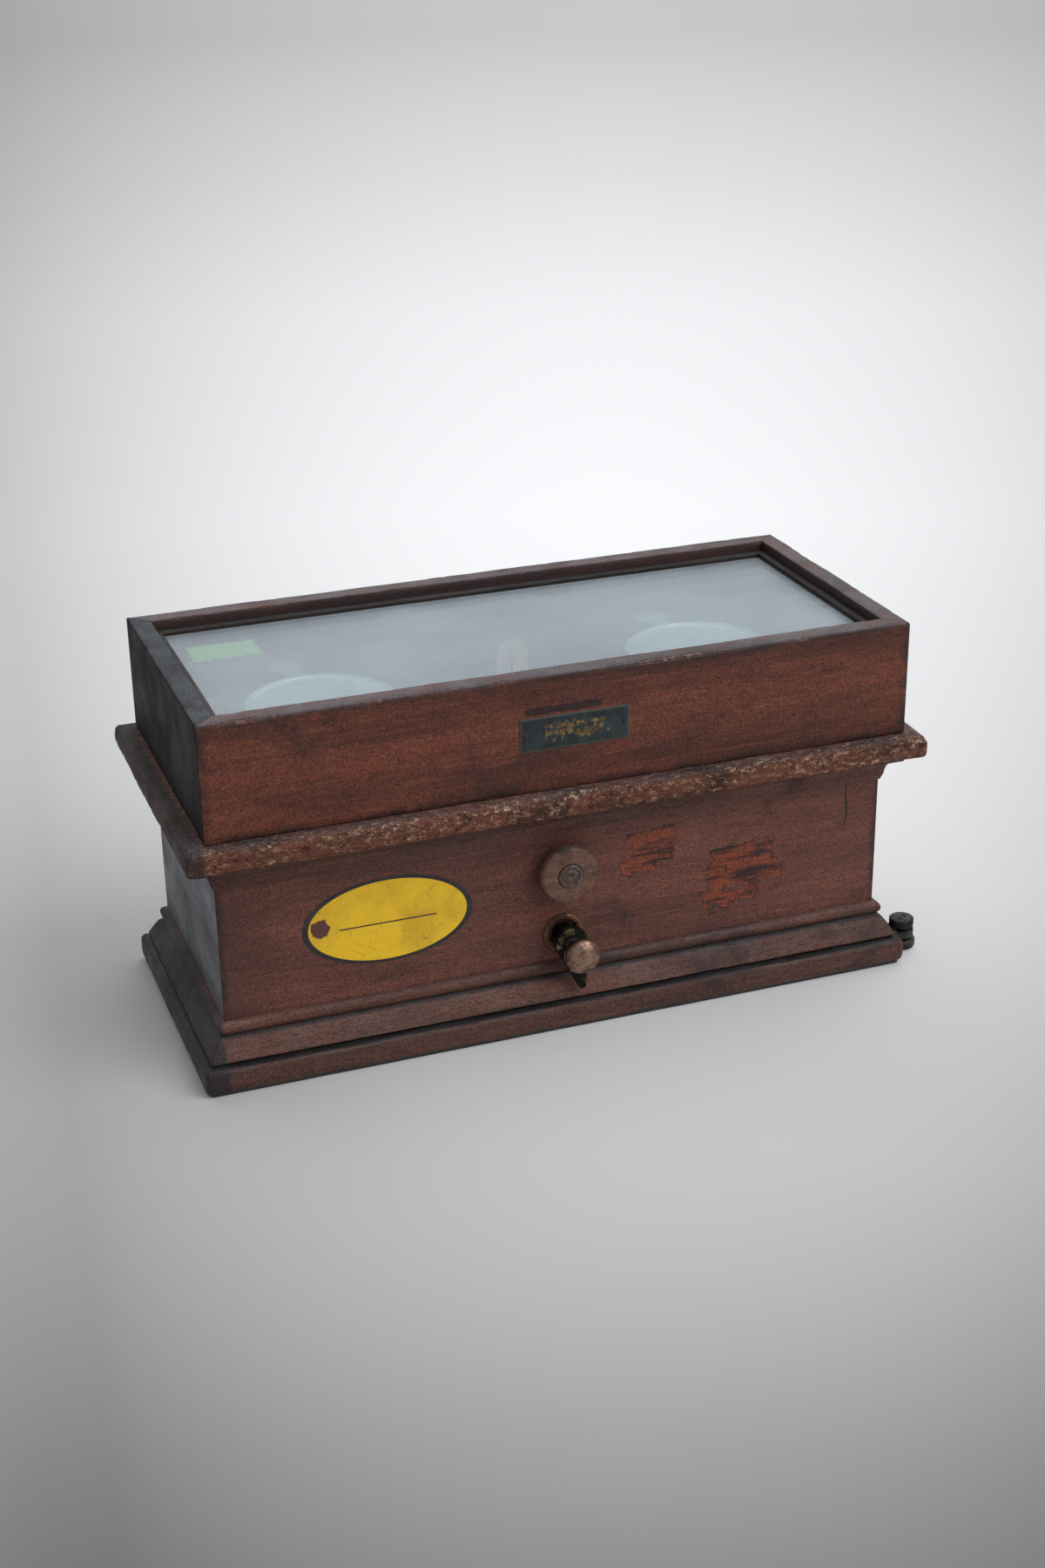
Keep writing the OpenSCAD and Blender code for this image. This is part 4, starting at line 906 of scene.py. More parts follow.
def scar_field(x, z):
    """From 0 far outside the scars to 1 inside, in millimetres on the front."""
    distance = 99.0
    for cx, cz, half_w, half_h in SCARS:
        lean = (x - cx) * SCAR_LEAN
        distance = min(distance, max(abs(x - cx) - half_w, abs(z - cz - lean) - half_h))
    distance += 3.2 * perlin.noise(Vector((x / 8, z / 5, 1.7))) + 1.3 * perlin.noise(Vector((x / 2.6, z / 2.1, 5.1)))
    return min(1.0, max(0.0, 0.5 - distance / 3.2))


# %% Case boards
case_w, case_d = (case_high.x - case_low.x) / MM, (case_high.y - case_low.y) / MM
case_h, case_z = (case_high.z - case_low.z) / MM, case_low.z / MM
case_wall = (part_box("case_front")[1].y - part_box("case_front")[0].y) / MM
front_y = case_low.y / MM
case_profile = eased([(0, 0, 0.4), (0, case_h, 0.4), (-case_wall, case_h, 0.4), (-case_wall, 0, 0.4)], 1.5)
KNOB_Z = sum(v.z for v in mm_box("zero_knob")) / 2
LEVER_Z = sum(v.z for v in mm_box("arrest_knob")) / 2


def on_front(z):
    """Places a turned shape on an axis that comes out of the front: its height is the distance
    from the board."""
    turned = Matrix(((1, 0, 0), (0, 0, -1), (0, 1, 0))).to_4x4()
    return Matrix.Translation((0, front_y, z)) @ turned


for side, name in enumerate(CASE_NODES):
    board = bmesh.new()
    if name != "case_front":
        add_run(board, side, case_w, case_d, case_z, case_profile, 0.4)
        add_piece(name + "_board", board, "case", "side_wood", side_wood if side == 3 else case_wood, name)
        continue
    add_run(board, side, case_w, case_d, case_z, filled(case_profile, 1.6), 0.4, 1.6)
    scar_layer = board.verts.layers.float.new("scar")
    for vertex in board.verts:
        if vertex.co.y < (front_y + 0.3) * MM:
            field = scar_field(vertex.co.x / MM, vertex.co.z / MM)
            vertex[scar_layer] = field
            vertex.co.y += SCAR_DEPTH * MM * field
    holes = [drill(radius, -14, 4, on_front(z)) for z, radius in ((KNOB_Z, KNOB_HOLE_R), (LEVER_Z, LEVER_HOLE_R))]
    ride_mesh("case_front_board", bored("case_front_board", board, holes), "case", "case_wood", case_wood, name)

# %% [markdown]
# ## Deck board, plinth and mouldings
# The deck board is the most battered piece. Its rounded edge has lost much of its varnish. It has
# round holes for the pans' posts and a slot for the pointer. The mouldings are runs of a profile
# with a bead and a cove.

# %% Deck and plinth
low, high = mm_box("deck_board")
deck_t = high.z - low.z
deck_edge = eased([(-16, 0, 0), (0, 0, 3.4), (0, deck_t, 3.6), (-16, deck_t, 0)], 5.2, 7)
deck = bmesh.new()
add_slab(deck, high.x - low.x, high.y - low.y, low.z, 3.0, deck_edge, 1.1)
holes = []
for name in ("left_post", "right_post"):
    middle = sum(mm_box(name), Vector()) / 2
    holes.append(drill(POST_HOLE_R, 110, 150, Matrix.Translation((middle.x, middle.y, 0))))
slot_cut = bmesh.new()
slot_box = Matrix.Translation((0, 0.0025, 0.135)) @ Matrix.Diagonal((0.018, 0.014, 0.05, 1))
bmesh.ops.create_cube(slot_cut, size=1, matrix=slot_box)
holes.append(cutter(slot_cut))
ride_mesh("deck_board_worn", bored("deck_board_worn", deck, holes), "case", "deck_wood", deck_wood, "deck_board")

low, high = mm_box("plinth")
plinth_edge = eased([(-12, 0, 0), (0, 0, 2.4), (0, high.z - low.z, 3.0), (-12, high.z - low.z, 0)], 5, 5)
plinth = bmesh.new()
add_slab(plinth, high.x - low.x, high.y - low.y, low.z, 3.0, plinth_edge, 0.7)
add_piece("plinth_worn", plinth, "case", "plinth_wood", plinth_wood, "plinth")


# %% Moulding profiles
def curve(points, rub=0.0):
    """Profile points with no round: places, an even share of rubbing and a push inwards."""
    return [(Vector(p), rub, Vector((-1, 0))) for p in points]


def turn_points(cx, cy, radius, first, last, count):
    """Places on an arc about (cx, cy) between two angles in degrees."""
    angles = [math.radians(first + (last - first) * k / count) for k in range(count + 1)]
    return [(cx + radius * math.cos(a), cy + radius * math.sin(a)) for a in angles]


BASE_D, BASE_FOOT, BASE_BEAD = 10.3, 1.6, 3.9
base_low, base_high = mm_box("base_mouldings")
bead_z = base_high.z - base_low.z - BASE_BEAD
BASE_SLOPE = [(10.1, 1.9), (9.8, 2.6), (9.2, 3.7), (8.4, 5.2), (7.4, 7.0), (6.3, 8.9), (5.2, 10.6), (4.2, 11.7),
              (3.3, 12.4), (2.7, 12.7)]
base_profile = (
    curve([(0, 0)])
    + curve([(BASE_D - 1.4, 0), (BASE_D - 1.1, 0.8), (BASE_D - 0.2, 0.9), (BASE_D, 1.1), (BASE_D, BASE_FOOT)], 0.8)
    + curve(BASE_SLOPE, 0.15)
    + curve(turn_points(0, bead_z, BASE_BEAD, -62, 20, 7), 0.7)
    + curve(turn_points(0, bead_z, BASE_BEAD, 35, 90, 4), 0.2)
)
COVE_D, COVE_FILLET, COVE_NECK, COVE_LOW = 10.0, 5.5, 2.2, 4.0
cove_low, cove_high = mm_box("cove_mouldings")
cove_h = cove_high.z - cove_low.z
cove_r = cove_h - COVE_FILLET - COVE_LOW
sweep = [math.radians(a) for a in range(0, 91, 9)]
cove_profile = (
    curve([(0, 0), (0, cove_h)])
    + curve([(COVE_D, cove_h), (COVE_D, cove_h - COVE_FILLET + 0.4), (COVE_D - 0.4, cove_h - COVE_FILLET)], 0.6)
    + curve([(COVE_NECK + (COVE_D - 1.5 - COVE_NECK) * (1 - math.sin(a)), COVE_LOW + cove_r * math.cos(a))
             for a in sweep], 0.05)
    + curve([(COVE_NECK, COVE_LOW), (COVE_NECK - 0.4, COVE_LOW - 1.2), (0.8, 0)], 0.4)
)


# %% Mouldings round the case, beads and strips at the glass
def run_round(name, body, material, size, profile, wear, gap, angle=32):
    """Four mitred runs of a profile, as one piece in place of a node."""
    run = bmesh.new()
    for side in range(4):
        add_run(run, side, *size, mm_box(name)[0].z, profile, wear, 3.0, gap)
    add_piece(name + "_runs", run, body, "moulding_wood", material, name, angle=angle)


BEAD_OUTLINE = [(0, 0, 0), (0, 2.8, 0.3), (-4.6, 2.8, 1.3), (-4.6, 0, 0)]
STOP_OUTLINE = [(0, 0, 0), (0, 6, 0), (-5.0, 6, 0.6), (-5.0, 0, 0.8)]
case_size, sight = (case_w, case_d), (lid_w - 2 * lid_wall, lid_d - 2 * lid_wall)
run_round("base_mouldings", "case", moulding_wood, case_size, base_profile, 0.5, 0.2, 50)
run_round("cove_mouldings", "case", moulding_wood, case_size, cove_profile, 0.3, 0.2, 50)
run_round("glazing_beads", "lid", bead_wood, sight, eased(BEAD_OUTLINE, 1.4, 4), 0.35, 0.06)
run_round("glass_stops", "lid", bead_wood, sight, eased(STOP_OUTLINE, 1.4, 4), 0.35, 0.06)

# %% [markdown]
# ## Turned controls
# The knob, its cap, the lever's knob and the levelling screws are turned on a lathe, so each is an
# outline swept round an axis. The points of an outline are close together where it bends.

# %% Zero knob and its cap
KNOB_R, KNOB_BACK, KNOB_FRONT = 16.0, 5.0, 12.0
knob_outline = (
    [(0, 0.3), (7.4, 0.3), (8, 0.9), (8, KNOB_BACK - 0.6), (8.6, KNOB_BACK)]
    + turn_points(KNOB_R - 2.4, KNOB_BACK + 2.4, 2.4, -90, 0, 6)
    + turn_points(KNOB_R - 2.2, KNOB_FRONT - 2.2, 2.2, 0, 82, 6)
    + [(12.0, KNOB_FRONT - 0.1), (10.0, KNOB_FRONT), (7.6, KNOB_FRONT + 0.3), (7.1, KNOB_FRONT + 0.2),
       (6.75, KNOB_FRONT - 0.2), (6.75, KNOB_FRONT - 1.5), (0, KNOB_FRONT - 1.5)]
)
knob_wood = wood("knob_wood", ((112, 80, 66), (84, 58, 48), (138, 104, 84)), follow_uv=False, wear=0.0, dust_and_sheen=0.2,
                 stains=(90, 0.5, 0.64), speckle=0.6)
turned("zero_knob_turned", knob_outline, on_front(KNOB_Z), 128,
       "zero_knob", "knob_wood", knob_wood, "zero_knob", angle=40)
cap_outline = [(0, 10), (6.5, 10), (6.7, 10.2), (6.7, 12.5), (6.5, 12.9), (5.9, 13.2), (5.0, 13.15), (4.7, 12.8),
               (4.5, 12.45), (3.2, 12.6), (2.0, 12.7), (1.6, 12.6), (1.2, 12.1), (0.6, 11.85), (0, 11.8)]
turned("knob_cap_turned", cap_outline, on_front(KNOB_Z), 96,
       "zero_knob", "cap_metal", metals["cap_metal"], "knob_cap", angle=45)

# %% Lever
domed = [(0, 24), (4.6, 24), (5.0, 24.4), (5.6, 25.2), (8.9, 27.2), (9.6, 27.8)]
domed += [(9.8 * math.cos(math.radians(a)), 29 + 5 * math.sin(math.radians(a))) for a in range(0, 86, 6)] + [(0, 34)]
turned("arrest_knob_turned", domed, on_front(LEVER_Z), 96,
       "arrest_lever", "lever_brass", metals["lever_brass"], "arrest_knob")

LEAF_TURN, LEAF_L, LEAF_HEAD, LEAF_TIP, LEAF_Z = math.radians(-77), 29.0, 9.0, 2.2, 10.0
lean = math.acos((LEAF_HEAD - LEAF_TIP) / LEAF_L)
leaf_edge = [(LEAF_HEAD * math.cos(a), LEAF_HEAD * math.sin(a))
             for a in (lean + (2 * math.pi - 2 * lean) * k / 40 for k in range(41))]
leaf_edge += [(LEAF_L - LEAF_TIP + LEAF_TIP * math.cos(a), LEAF_TIP * math.sin(a))
              for a in (-lean + 2 * lean * k / 14 for k in range(15))]
leaf = bmesh.new()
LEAF_STEPS = ((0.9, 0), (0.3, 0.25), (0, 0.9), (0, 3.1), (0.3, 3.75), (0.9, 4.0))
leaf_place = on_front(LEVER_Z) @ Matrix.Translation((0, 0, LEAF_Z)) @ Matrix.Rotation(LEAF_TURN, 4, "Z")
add_flat(leaf, leaf_edge, lambda x, y: (min(max(x, 0), LEAF_L - LEAF_TIP), 0), LEAF_STEPS, leaf_place)
add_piece("arrest_leaf_filed", leaf, "arrest_lever", "lever_brass", metals["leaf_brass"], "arrest_leaf")
stem_outline = [(0, 13.9), (5.2, 13.9), (5.2, 15), (4.6, 16), (3.6, 17.5), (3.6, 21), (4.2, 24.1), (0, 24.1)]
turned("arrest_stem", stem_outline, on_front(LEVER_Z), 48, "arrest_lever", "black_steel", metals["black_steel"])

# %% Ring of the lever's bearing
ring_h = front_y - mm_box("arrest_bush")[0].y
ring_outline = [(5.56, -10), (9.6, -10), (9.6, 0), (11.3, 0), (11.6, 0.3), (11.6, ring_h - 1.2), (11.2, ring_h - 0.4),
                (10.4, ring_h), (8.9, ring_h), (8.0, ring_h - 0.4), (7.7, ring_h - 1.0), (7.7, ring_h - 3.0),
                (5.56, ring_h - 3.0), (5.56, -10)]
print("ring stands", round(ring_h, 2), "mm out")
turned("arrest_bush_turned", ring_outline, on_front(LEVER_Z), 96,
       "case", "aged_brass", metals["aged_brass"], "arrest_bush", angle=40, weld=True)

# %% [markdown]
# ## Knurled levelling screws
# Each screw has a plain foot and a knurled head. The ribs of the knurl repeat round a circle, so a
# Geometry Nodes tree sets them there. Its inputs are the radius, the height, the place, the count
# and the material.


# %% Tree for ribs
def geo_tree(name, sockets):
    """A Geometry Nodes tree: returns the tree, what its inputs give and their identifiers."""
    made = bpy.data.node_groups.new(name, "GeometryNodeTree")
    made.interface.new_socket("Geometry", in_out="INPUT", socket_type="NodeSocketGeometry")
    identifiers = {}
    for socket, kind, value in sockets + [("Material", "Material", None)]:
        item = made.interface.new_socket(socket, in_out="INPUT", socket_type="NodeSocket" + kind)
        if value is not None:
            item.default_value = value
        identifiers[socket] = item.identifier
    made.interface.new_socket("Geometry", in_out="OUTPUT", socket_type="NodeSocketGeometry")
    return made, made.nodes.new("NodeGroupInput").outputs, identifiers


def placed_and_painted(tree, given, instances):
    """The end of a tree: instances are moved to their place, joined to the mesh and given a material."""
    placed = geo(tree, "GeometryNodeTransform", {"Geometry": instances, "Translation": given["Place"]})
    real = geo(tree, "GeometryNodeRealizeInstances", {"Geometry": placed.outputs[0]})
    joined = geo(tree, "GeometryNodeJoinGeometry")
    for part in (real.outputs[0], given["Geometry"]):
        tree.links.new(part, joined.inputs[0])
    painted = geo(tree, "GeometryNodeSetMaterial", {"Geometry": joined.outputs[0], "Material": given["Material"]})
    tree.links.new(painted.outputs[0], tree.nodes.new("NodeGroupOutput").inputs[0])


ribs, given, RIB = geo_tree("Ribs round a rim", [
    ("Radius", "Float", 0.007), ("Height", "Float", 0.004), ("Place", "Vector", (0, 0, 0)), ("Count", "Int", 48),
])
circle = geo(ribs, "GeometryNodeMeshCircle", {"Vertices": given["Count"], "Radius": given["Radius"]})
rib = geo(ribs, "GeometryNodeMeshCylinder", {"Vertices": 6, "Radius": 0.00032, "Depth": given["Height"]})
spread = geo(ribs, "GeometryNodeInstanceOnPoints", {"Points": circle.outputs[0], "Instance": rib.outputs["Mesh"]})
placed_and_painted(ribs, given, spread.outputs[0])


def grown(name, mesh, group_tree, identifiers, **values):
    """The mesh that a Geometry Nodes tree makes from another, with its inputs set by identifier."""
    made = linked(name, mesh)
    modifier = made.modifiers.new("made", "NODES")
    modifier.node_group = group_tree
    for socket, value in values.items():
        modifier[identifiers[socket]] = value
    return evaluated(made)


# %% Levelling screws
for name in ("front_level_screw", "back_level_screw"):
    low, high = mm_box(name)
    axis = (low + high) / 2
    top = high.z
    outline = [(0, 0), (7.0, 0), (7.7, 0.3), (8.2, 1.2), (8.2, 4.3), (7.8, 5.1), (7.0, 5.5), (3.4, 5.5), (3.0, 5.9),
               (3.0, top - 5.2), (6.0, top - 5.2), (6.5, top - 4.9), (6.6, top - 4.4), (6.6, top - 0.8),
               (6.4, top - 0.3), (5.8, top), (2.4, top), (2.0, top - 0.35), (0, top - 0.35)]
    screw = bmesh.new()
    add_turned(screw, outline, Matrix.Translation((axis.x, axis.y, 0)), 96)
    knurled = grown(name, closed_mesh(name, screw), ribs, RIB, Radius=6.62 * MM, Height=3.9 * MM, Count=56,
                    Place=(axis.x * MM, axis.y * MM, (top - 2.6) * MM), Material=metals["lug_metal"])
    ride_mesh(name + "_knurled", knurled, name, "lug_metal", metals["lug_metal"], name)

# %% [markdown]
# The tare poise is a brass drum on its rod. Three grooves give the fingers a grip. It is a little
# shorter and its bore a little wider than in the frame, which leaves it room on the rod.

# %% Tare poise
low, high = mm_box("tare_poise")
middle, drum_r, drum_h = (low + high) / 2, (high.z - low.z) / 2, (high.x - low.x) / 2 - 0.25
BORE_R = 1.5
drum_outline = [(BORE_R, -drum_h), (drum_r - 0.7, -drum_h), (drum_r, 0.7 - drum_h)]
GROOVE = ((0, -0.4), (0.35, -0.15), (0.35, 0.15), (0, 0.4))
for groove in (-1.8, 0, 1.8):
    drum_outline += [(drum_r - sunk, groove + off) for sunk, off in GROOVE]
drum_outline += [(drum_r, drum_h - 0.7), (drum_r - 0.7, drum_h), (BORE_R, drum_h), (BORE_R, -drum_h)]
along_x = Matrix.Translation(middle) @ Matrix.Rotation(math.radians(90), 4, "Y")
turned("tare_poise_turned", drum_outline, along_x, 72,
       "tare_poise", "brass", metals["brass"], "tare_poise", angle=40, weld=True)

# %% [markdown]
# ## The two pans
# A pan is a shallow dish with a rolled rim and a round thumb tab at the back. The dish is turned,
# and the tab is an outline with a soft edge.

# %% Pans
PAN_R, TAB_R, TAB_REACH, TAB_TURN = 40.3, 9.0, 56.0, math.radians(4.6)
dish = ([(0, 0), (33, 0), (37, 0.05)] + turn_points(37.3, 3.0, 3.0, -80, -6, 8)
        + [(PAN_R, 2.8), (40.0, 3.0), (39.0, 3.0), (38.7, 2.8), (38.2, 2.1), (37.4, 1.6), (36.4, 1.4), (0, 1.4)])
TAB_STEPS = ((0.45, 1.6), (0, 1.95), (0, 2.65), (0.45, 3.0))
for name in ("left_pan", "right_pan"):
    low = mm_box(name)[0]
    centre = Matrix.Translation(((low.x + PAN_R), 0, low.z))
    pan = bmesh.new()
    add_turned(pan, dish, centre, 128)
    sweep = [math.radians(-60 + 300 * k / 40) for k in range(41)]
    tab = [(TAB_R * math.cos(a), TAB_REACH + TAB_R * math.sin(a)) for a in sweep]
    tab += [(-4.6, TAB_REACH - 8.6), (-5.6, 42.0), (-6.4, 38.9), (6.4, 38.9), (5.6, 42.0), (4.6, TAB_REACH - 8.6)]
    add_flat(pan, tab, lambda x, y: (0, min(y, TAB_REACH)), TAB_STEPS, centre @ Matrix.Rotation(TAB_TURN, 4, "Z"))
    add_piece(name + "_spun", pan, name, "pan_metal", metals["pan_metal"], name)

# %% [markdown]
# ## Plate, label and index
# The small plate on the lid and the oval label on the front are left blank: the plate's dark paint
# is worn to brass, and the label keeps its black border and one ruled line, with a chip at the
# left and fine cracks. The index is cream enamel with plain scale lines.

# %% Name plate
plate_metal, tree, shader, place = new_material("plate_metal")
centred, half = centred_on(tree, place, "name_plate")
x, _, z = axes(tree, centred)
middle = times(tree, band(tree, x, 0, half.x * 0.8, half.x * 0.45), band(tree, z, 0, half.z * 0.9, half.z * 0.3))
worn = ragged(tree, place, times(tree, middle, 0.52), 260, 1.9)
paint = mixed(tree, soft_step(tree, noise(tree, place, 160, 5), 0.35, 0.65), srgb(18, 26, 29), srgb(40, 50, 52))
brassy = mixed(tree, soft_step(tree, noise(tree, place, 500, 3), 0.35, 0.65), srgb(96, 78, 52), srgb(146, 122, 80))
edge = near_edge(tree, place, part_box("name_plate"), 0.0014)
colour = mixed(tree, worn["Mask"], paint, brassy)
colour = coat(tree, colour, edge, (96, 92, 80), 0.55)
final = speckled(tree, place, colour, 0.2)
feed(tree, shader, {"Base Color": final["Color"], "Metallic": soft_step(tree, worn["Mask"], 0, 1, 0.15, 0.85),
                    "Roughness": soft_step(tree, noise(tree, place, 120, 4), 0.3, 0.7, 0.32, 0.55)})
bump(tree, shader, calc(tree, "SUBTRACT", final["Height"], worn["Mask"]), 0.4, 0.0001)

low, high = mm_box("name_plate")
plate = bmesh.new()
columns, rows = 60, 20
grid = []
for j in range(rows + 1):
    line = []
    for i in range(columns + 1):
        x = low.x + (high.x - low.x) * i / columns
        z = low.z + (high.z - low.z) * j / rows
        rim_near = min(x - low.x, high.x - x, z - low.z, high.z - z)
        sink = 0.16 * (0.5 + 0.5 * perlin.noise(Vector((x / 9, z / 7, 3.3)))) + 0.3 * max(0, 1 - rim_near / 0.6)
        line.append(plate.verts.new(Vector((x, low.y + sink, z)) * MM))
    grid.append(line)
back = [[plate.verts.new(Vector((v.co.x, high.y * MM, v.co.z))) for v in line] for line in grid]
for j in range(rows):
    for i in range(columns):
        plate.faces.new((grid[j][i], grid[j][i + 1], grid[j + 1][i + 1], grid[j + 1][i]))
        plate.faces.new((back[j][i], back[j + 1][i], back[j + 1][i + 1], back[j][i + 1]))
for i in range(columns):
    plate.faces.new((grid[0][i], back[0][i], back[0][i + 1], grid[0][i + 1]))
    plate.faces.new((grid[-1][i + 1], back[-1][i + 1], back[-1][i], grid[-1][i]))
for j in range(rows):
    plate.faces.new((grid[j + 1][0], back[j + 1][0], back[j][0], grid[j][0]))
    plate.faces.new((grid[j][-1], back[j][-1], back[j + 1][-1], grid[j + 1][-1]))
add_piece("name_plate_blank", plate, "lid", "plate_metal", plate_metal, "name_plate", angle=50)

# %% Oval label
oval_print, tree, shader, place = new_material("oval_print")
centred, half = centred_on(tree, place, "oval_label")
flat = vectors(tree, "MULTIPLY", centred, (1 / half.x, 0, 1 / half.z))
reach = vectors(tree, "LENGTH", flat)
x, _, z = axes(tree, centred)
fade = soft_step(tree, noise(tree, place, 50, 5), 0.35, 0.68)
yellow = mixed(tree, fade, srgb(236, 190, 22), srgb(208, 162, 26))
black = mixed(tree, fade, srgb(24, 24, 30), srgb(46, 42, 42))
border = soft_step(tree, reach, 0.925, 0.935)
rule = times(tree, band(tree, z, -0.0015, 0.0005, 0.0003), band(tree, x, 0, 0.0265, 0.026))
ink = calc(tree, "MAXIMUM", border, rule)
colour = mixed(tree, ink, yellow, black)
cells = put(tree, "TexVoronoi", {"Vector": place, "Scale": 110.0}, feature="DISTANCE_TO_EDGE").outputs[0]
cracks = times(tree, soft_step(tree, cells, 0.016, 0.006), soft_step(tree, noise(tree, place, 60, 3), 0.46, 0.6))
colour = coat(tree, colour, cracks, (110, 84, 24), 0.45)
chip_at = vectors(tree, "SUBTRACT", centred, (-0.0365, 0, 0.001))
away = vectors(tree, "LENGTH", chip_at)
chip = ragged(tree, place, soft_step(tree, away, 0.0095, 0.001), 260, 0.9)
colour = coat(tree, colour, chip["Mask"], (88, 50, 42))
specks = blotted(tree, place, 300, 0.62, 0.68)
colour = coat(tree, colour, specks, (120, 90, 30), 0.5)
final = speckled(tree, place, colour, 0.12)
feed(tree, shader, {"Base Color": final["Color"], "Roughness": soft_step(tree, fade, 0, 1, 0.38, 0.6)})
relief = calc(tree, "SUBTRACT", times(tree, final["Height"], 0.3), calc(tree, "ADD", chip["Mask"], cracks))
bump(tree, shader, relief, 0.4, 0.0001)
oval = bmesh.new()
low, high = mm_box("oval_label")
middle = (low + high) / 2
half = (high - low) / 2
rings = []
OVAL_STEPS = ((0.0, 0.02), (0.25, 0.02), (0.5, 0.0), (0.75, 0.03), (0.92, 0.0), (0.985, 0.02), (1.0, 0.08),
              (1.0, 0.25))
for share, depth in OVAL_STEPS:
    ring = []
    for k in range(144):
        a = 2 * math.pi * k / 144
        wobble = 1 - 0.004 * max(0, perlin.noise(Vector((4 * math.cos(a), 4 * math.sin(a), 9))))
        x = middle.x + half.x * share * wobble * math.cos(a)
        z = middle.z + half.z * share * wobble * math.sin(a)
        ring.append(oval.verts.new(Vector((x, low.y + depth, z)) * MM))
        if share == 0:
            break
    rings.append(ring)
for a, b in zip(rings, rings[1:]):
    for k in range(144):
        nxt = (k + 1) % 144
        oval.faces.new(list(dict.fromkeys((a[k % len(a)], a[nxt % len(a)], b[nxt], b[k]))))
oval.faces.new(rings[-1])
add_piece("oval_label_print", oval, "case", "oval_print", oval_print, "oval_label", angle=60)

# %% Paper and enamel
paper, tree, shader, place = new_material("paper")
fibres = noise(tree, place, (500, 700, 500), 5, 0.7)
sheet = mixed(tree, soft_step(tree, fibres, 0.3, 0.7), srgb(176, 222, 176), srgb(206, 240, 204))
near = near_edge(tree, place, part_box("paper_label"), 0.0022)
rub_lines = soft_step(tree, noise(tree, place, 220, 3), 0.4, 0.6)
edged = mixed(tree, times(tree, near, rub_lines), sheet, srgb(150, 170, 150))
feed(tree, shader, {"Base Color": edged, "Roughness": 0.85})
bump(tree, shader, fibres, 0.3, 0.0001)

enamel, tree, shader, place = new_material("index_enamel")
aged = soft_step(tree, noise(tree, place, 130, 6, 0.7), 0.35, 0.7)
feed(tree, shader, {"Base Color": mixed(tree, aged, srgb(240, 226, 196), srgb(206, 186, 150)),
                    "Roughness": soft_step(tree, aged, 0, 1, 0.22, 0.4)})
bump(tree, shader, aged, 0.2, 0.0001)

tick_ink, tree, shader, place = new_material("tick_ink")
faded = soft_step(tree, noise(tree, place, 900, 3), 0.35, 0.65)
feed(tree, shader, {"Base Color": mixed(tree, faded, srgb(20, 18, 18), srgb(52, 46, 42)), "Roughness": 0.5})

# %% [markdown]
# ## Scale lines
# The lines of the index lie on an arc about the pointer's pivot, and each fifth line is longer.
# That is a rule, so Geometry Nodes draw it: points along a line get an angle from their index.

# %% Tree for scale lines
ticks, given, TICK = geo_tree("Scale lines", [
    ("Count", "Int", 21), ("Radius", "Float", 0.095), ("Spread", "Float", 0.14), ("Length", "Float", 0.0025),
    ("Place", "Vector", (0, 0, 0)),
])
row = geo(ticks, "GeometryNodeMeshLine", {"Count": given["Count"]})
index = geo(ticks, "GeometryNodeInputIndex").outputs[0]
share = calc(ticks, "DIVIDE", index, calc(ticks, "SUBTRACT", given["Count"], 1.0))
angle = calc(ticks, "MULTIPLY", calc(ticks, "SUBTRACT", share, 0.5), given["Spread"])
x = calc(ticks, "MULTIPLY", calc(ticks, "SINE", angle), given["Radius"])
z = calc(ticks, "MULTIPLY", calc(ticks, "COSINE", angle), given["Radius"])
spot = put(ticks, "CombineXYZ", {0: x, 1: 0.0, 2: z}).outputs[0]
set_row = geo(ticks, "GeometryNodeSetPosition", {"Geometry": row.outputs[0], "Position": spot})
size = put(ticks, "CombineXYZ", {0: 0.00022, 1: 0.00006, 2: given["Length"]}).outputs[0]
bar = geo(ticks, "GeometryNodeMeshCube", {"Size": size})
long_one = geo(ticks, "FunctionNodeCompare", {0: calc(ticks, "MODULO", index, 5.0), 1: 0.5},
               data_type="FLOAT", operation="LESS_THAN")
tall = geo(ticks, "GeometryNodeSwitch", {0: long_one.outputs[0], 1: 1.0, 2: 1.7}, input_type="FLOAT").outputs[0]
stretch = put(ticks, "CombineXYZ", {0: 1.0, 1: 1.0, 2: tall}).outputs[0]
lean_by = put(ticks, "CombineXYZ", {0: 0.0, 1: angle, 2: 0.0}).outputs[0]
spread = geo(ticks, "GeometryNodeInstanceOnPoints", {
    "Points": set_row.outputs[0], "Instance": bar.outputs[0], "Rotation": lean_by, "Scale": stretch})
placed_and_painted(ticks, given, spread.outputs[0])

low, high = mm_box("index_plate")
tick_mesh = grown("index_scale", bpy.data.meshes.new("index_scale"), ticks, TICK, Count=21,
                  Radius=(high.z - 6 - KNOB_Z) * MM, Spread=0.145, Length=2.4 * MM, Material=tick_ink,
                  Place=((low.x + high.x) / 2 * MM, (low.y - 0.01) * MM, KNOB_Z * MM))
ride_mesh("index_scale", tick_mesh, "case", "index_enamel", tick_ink)

# %% [markdown]
# ## Finishes of the nodes that stay
# The mechanism inside keeps its solids. Each gets one of the finishes above by its slot name.

# %% Dress the nodes
finishes = dict(metals, baize=baize, glass=glass_material, index_enamel=enamel, oval_print=oval_print, paper=paper,
                plate_metal=plate_metal, knob_wood=knob_wood, case_wood=case_wood, side_wood=side_wood,
                lid_wood=lid_wood, deck_wood=deck_wood, plinth_wood=plinth_wood, moulding_wood=moulding_wood)
for part in frame["record"]["subparts"]:
    for slot_on_node in frame["nodes"][part["node"]].material_slots:
        slot_on_node.material = finishes[part["material_slot"]]

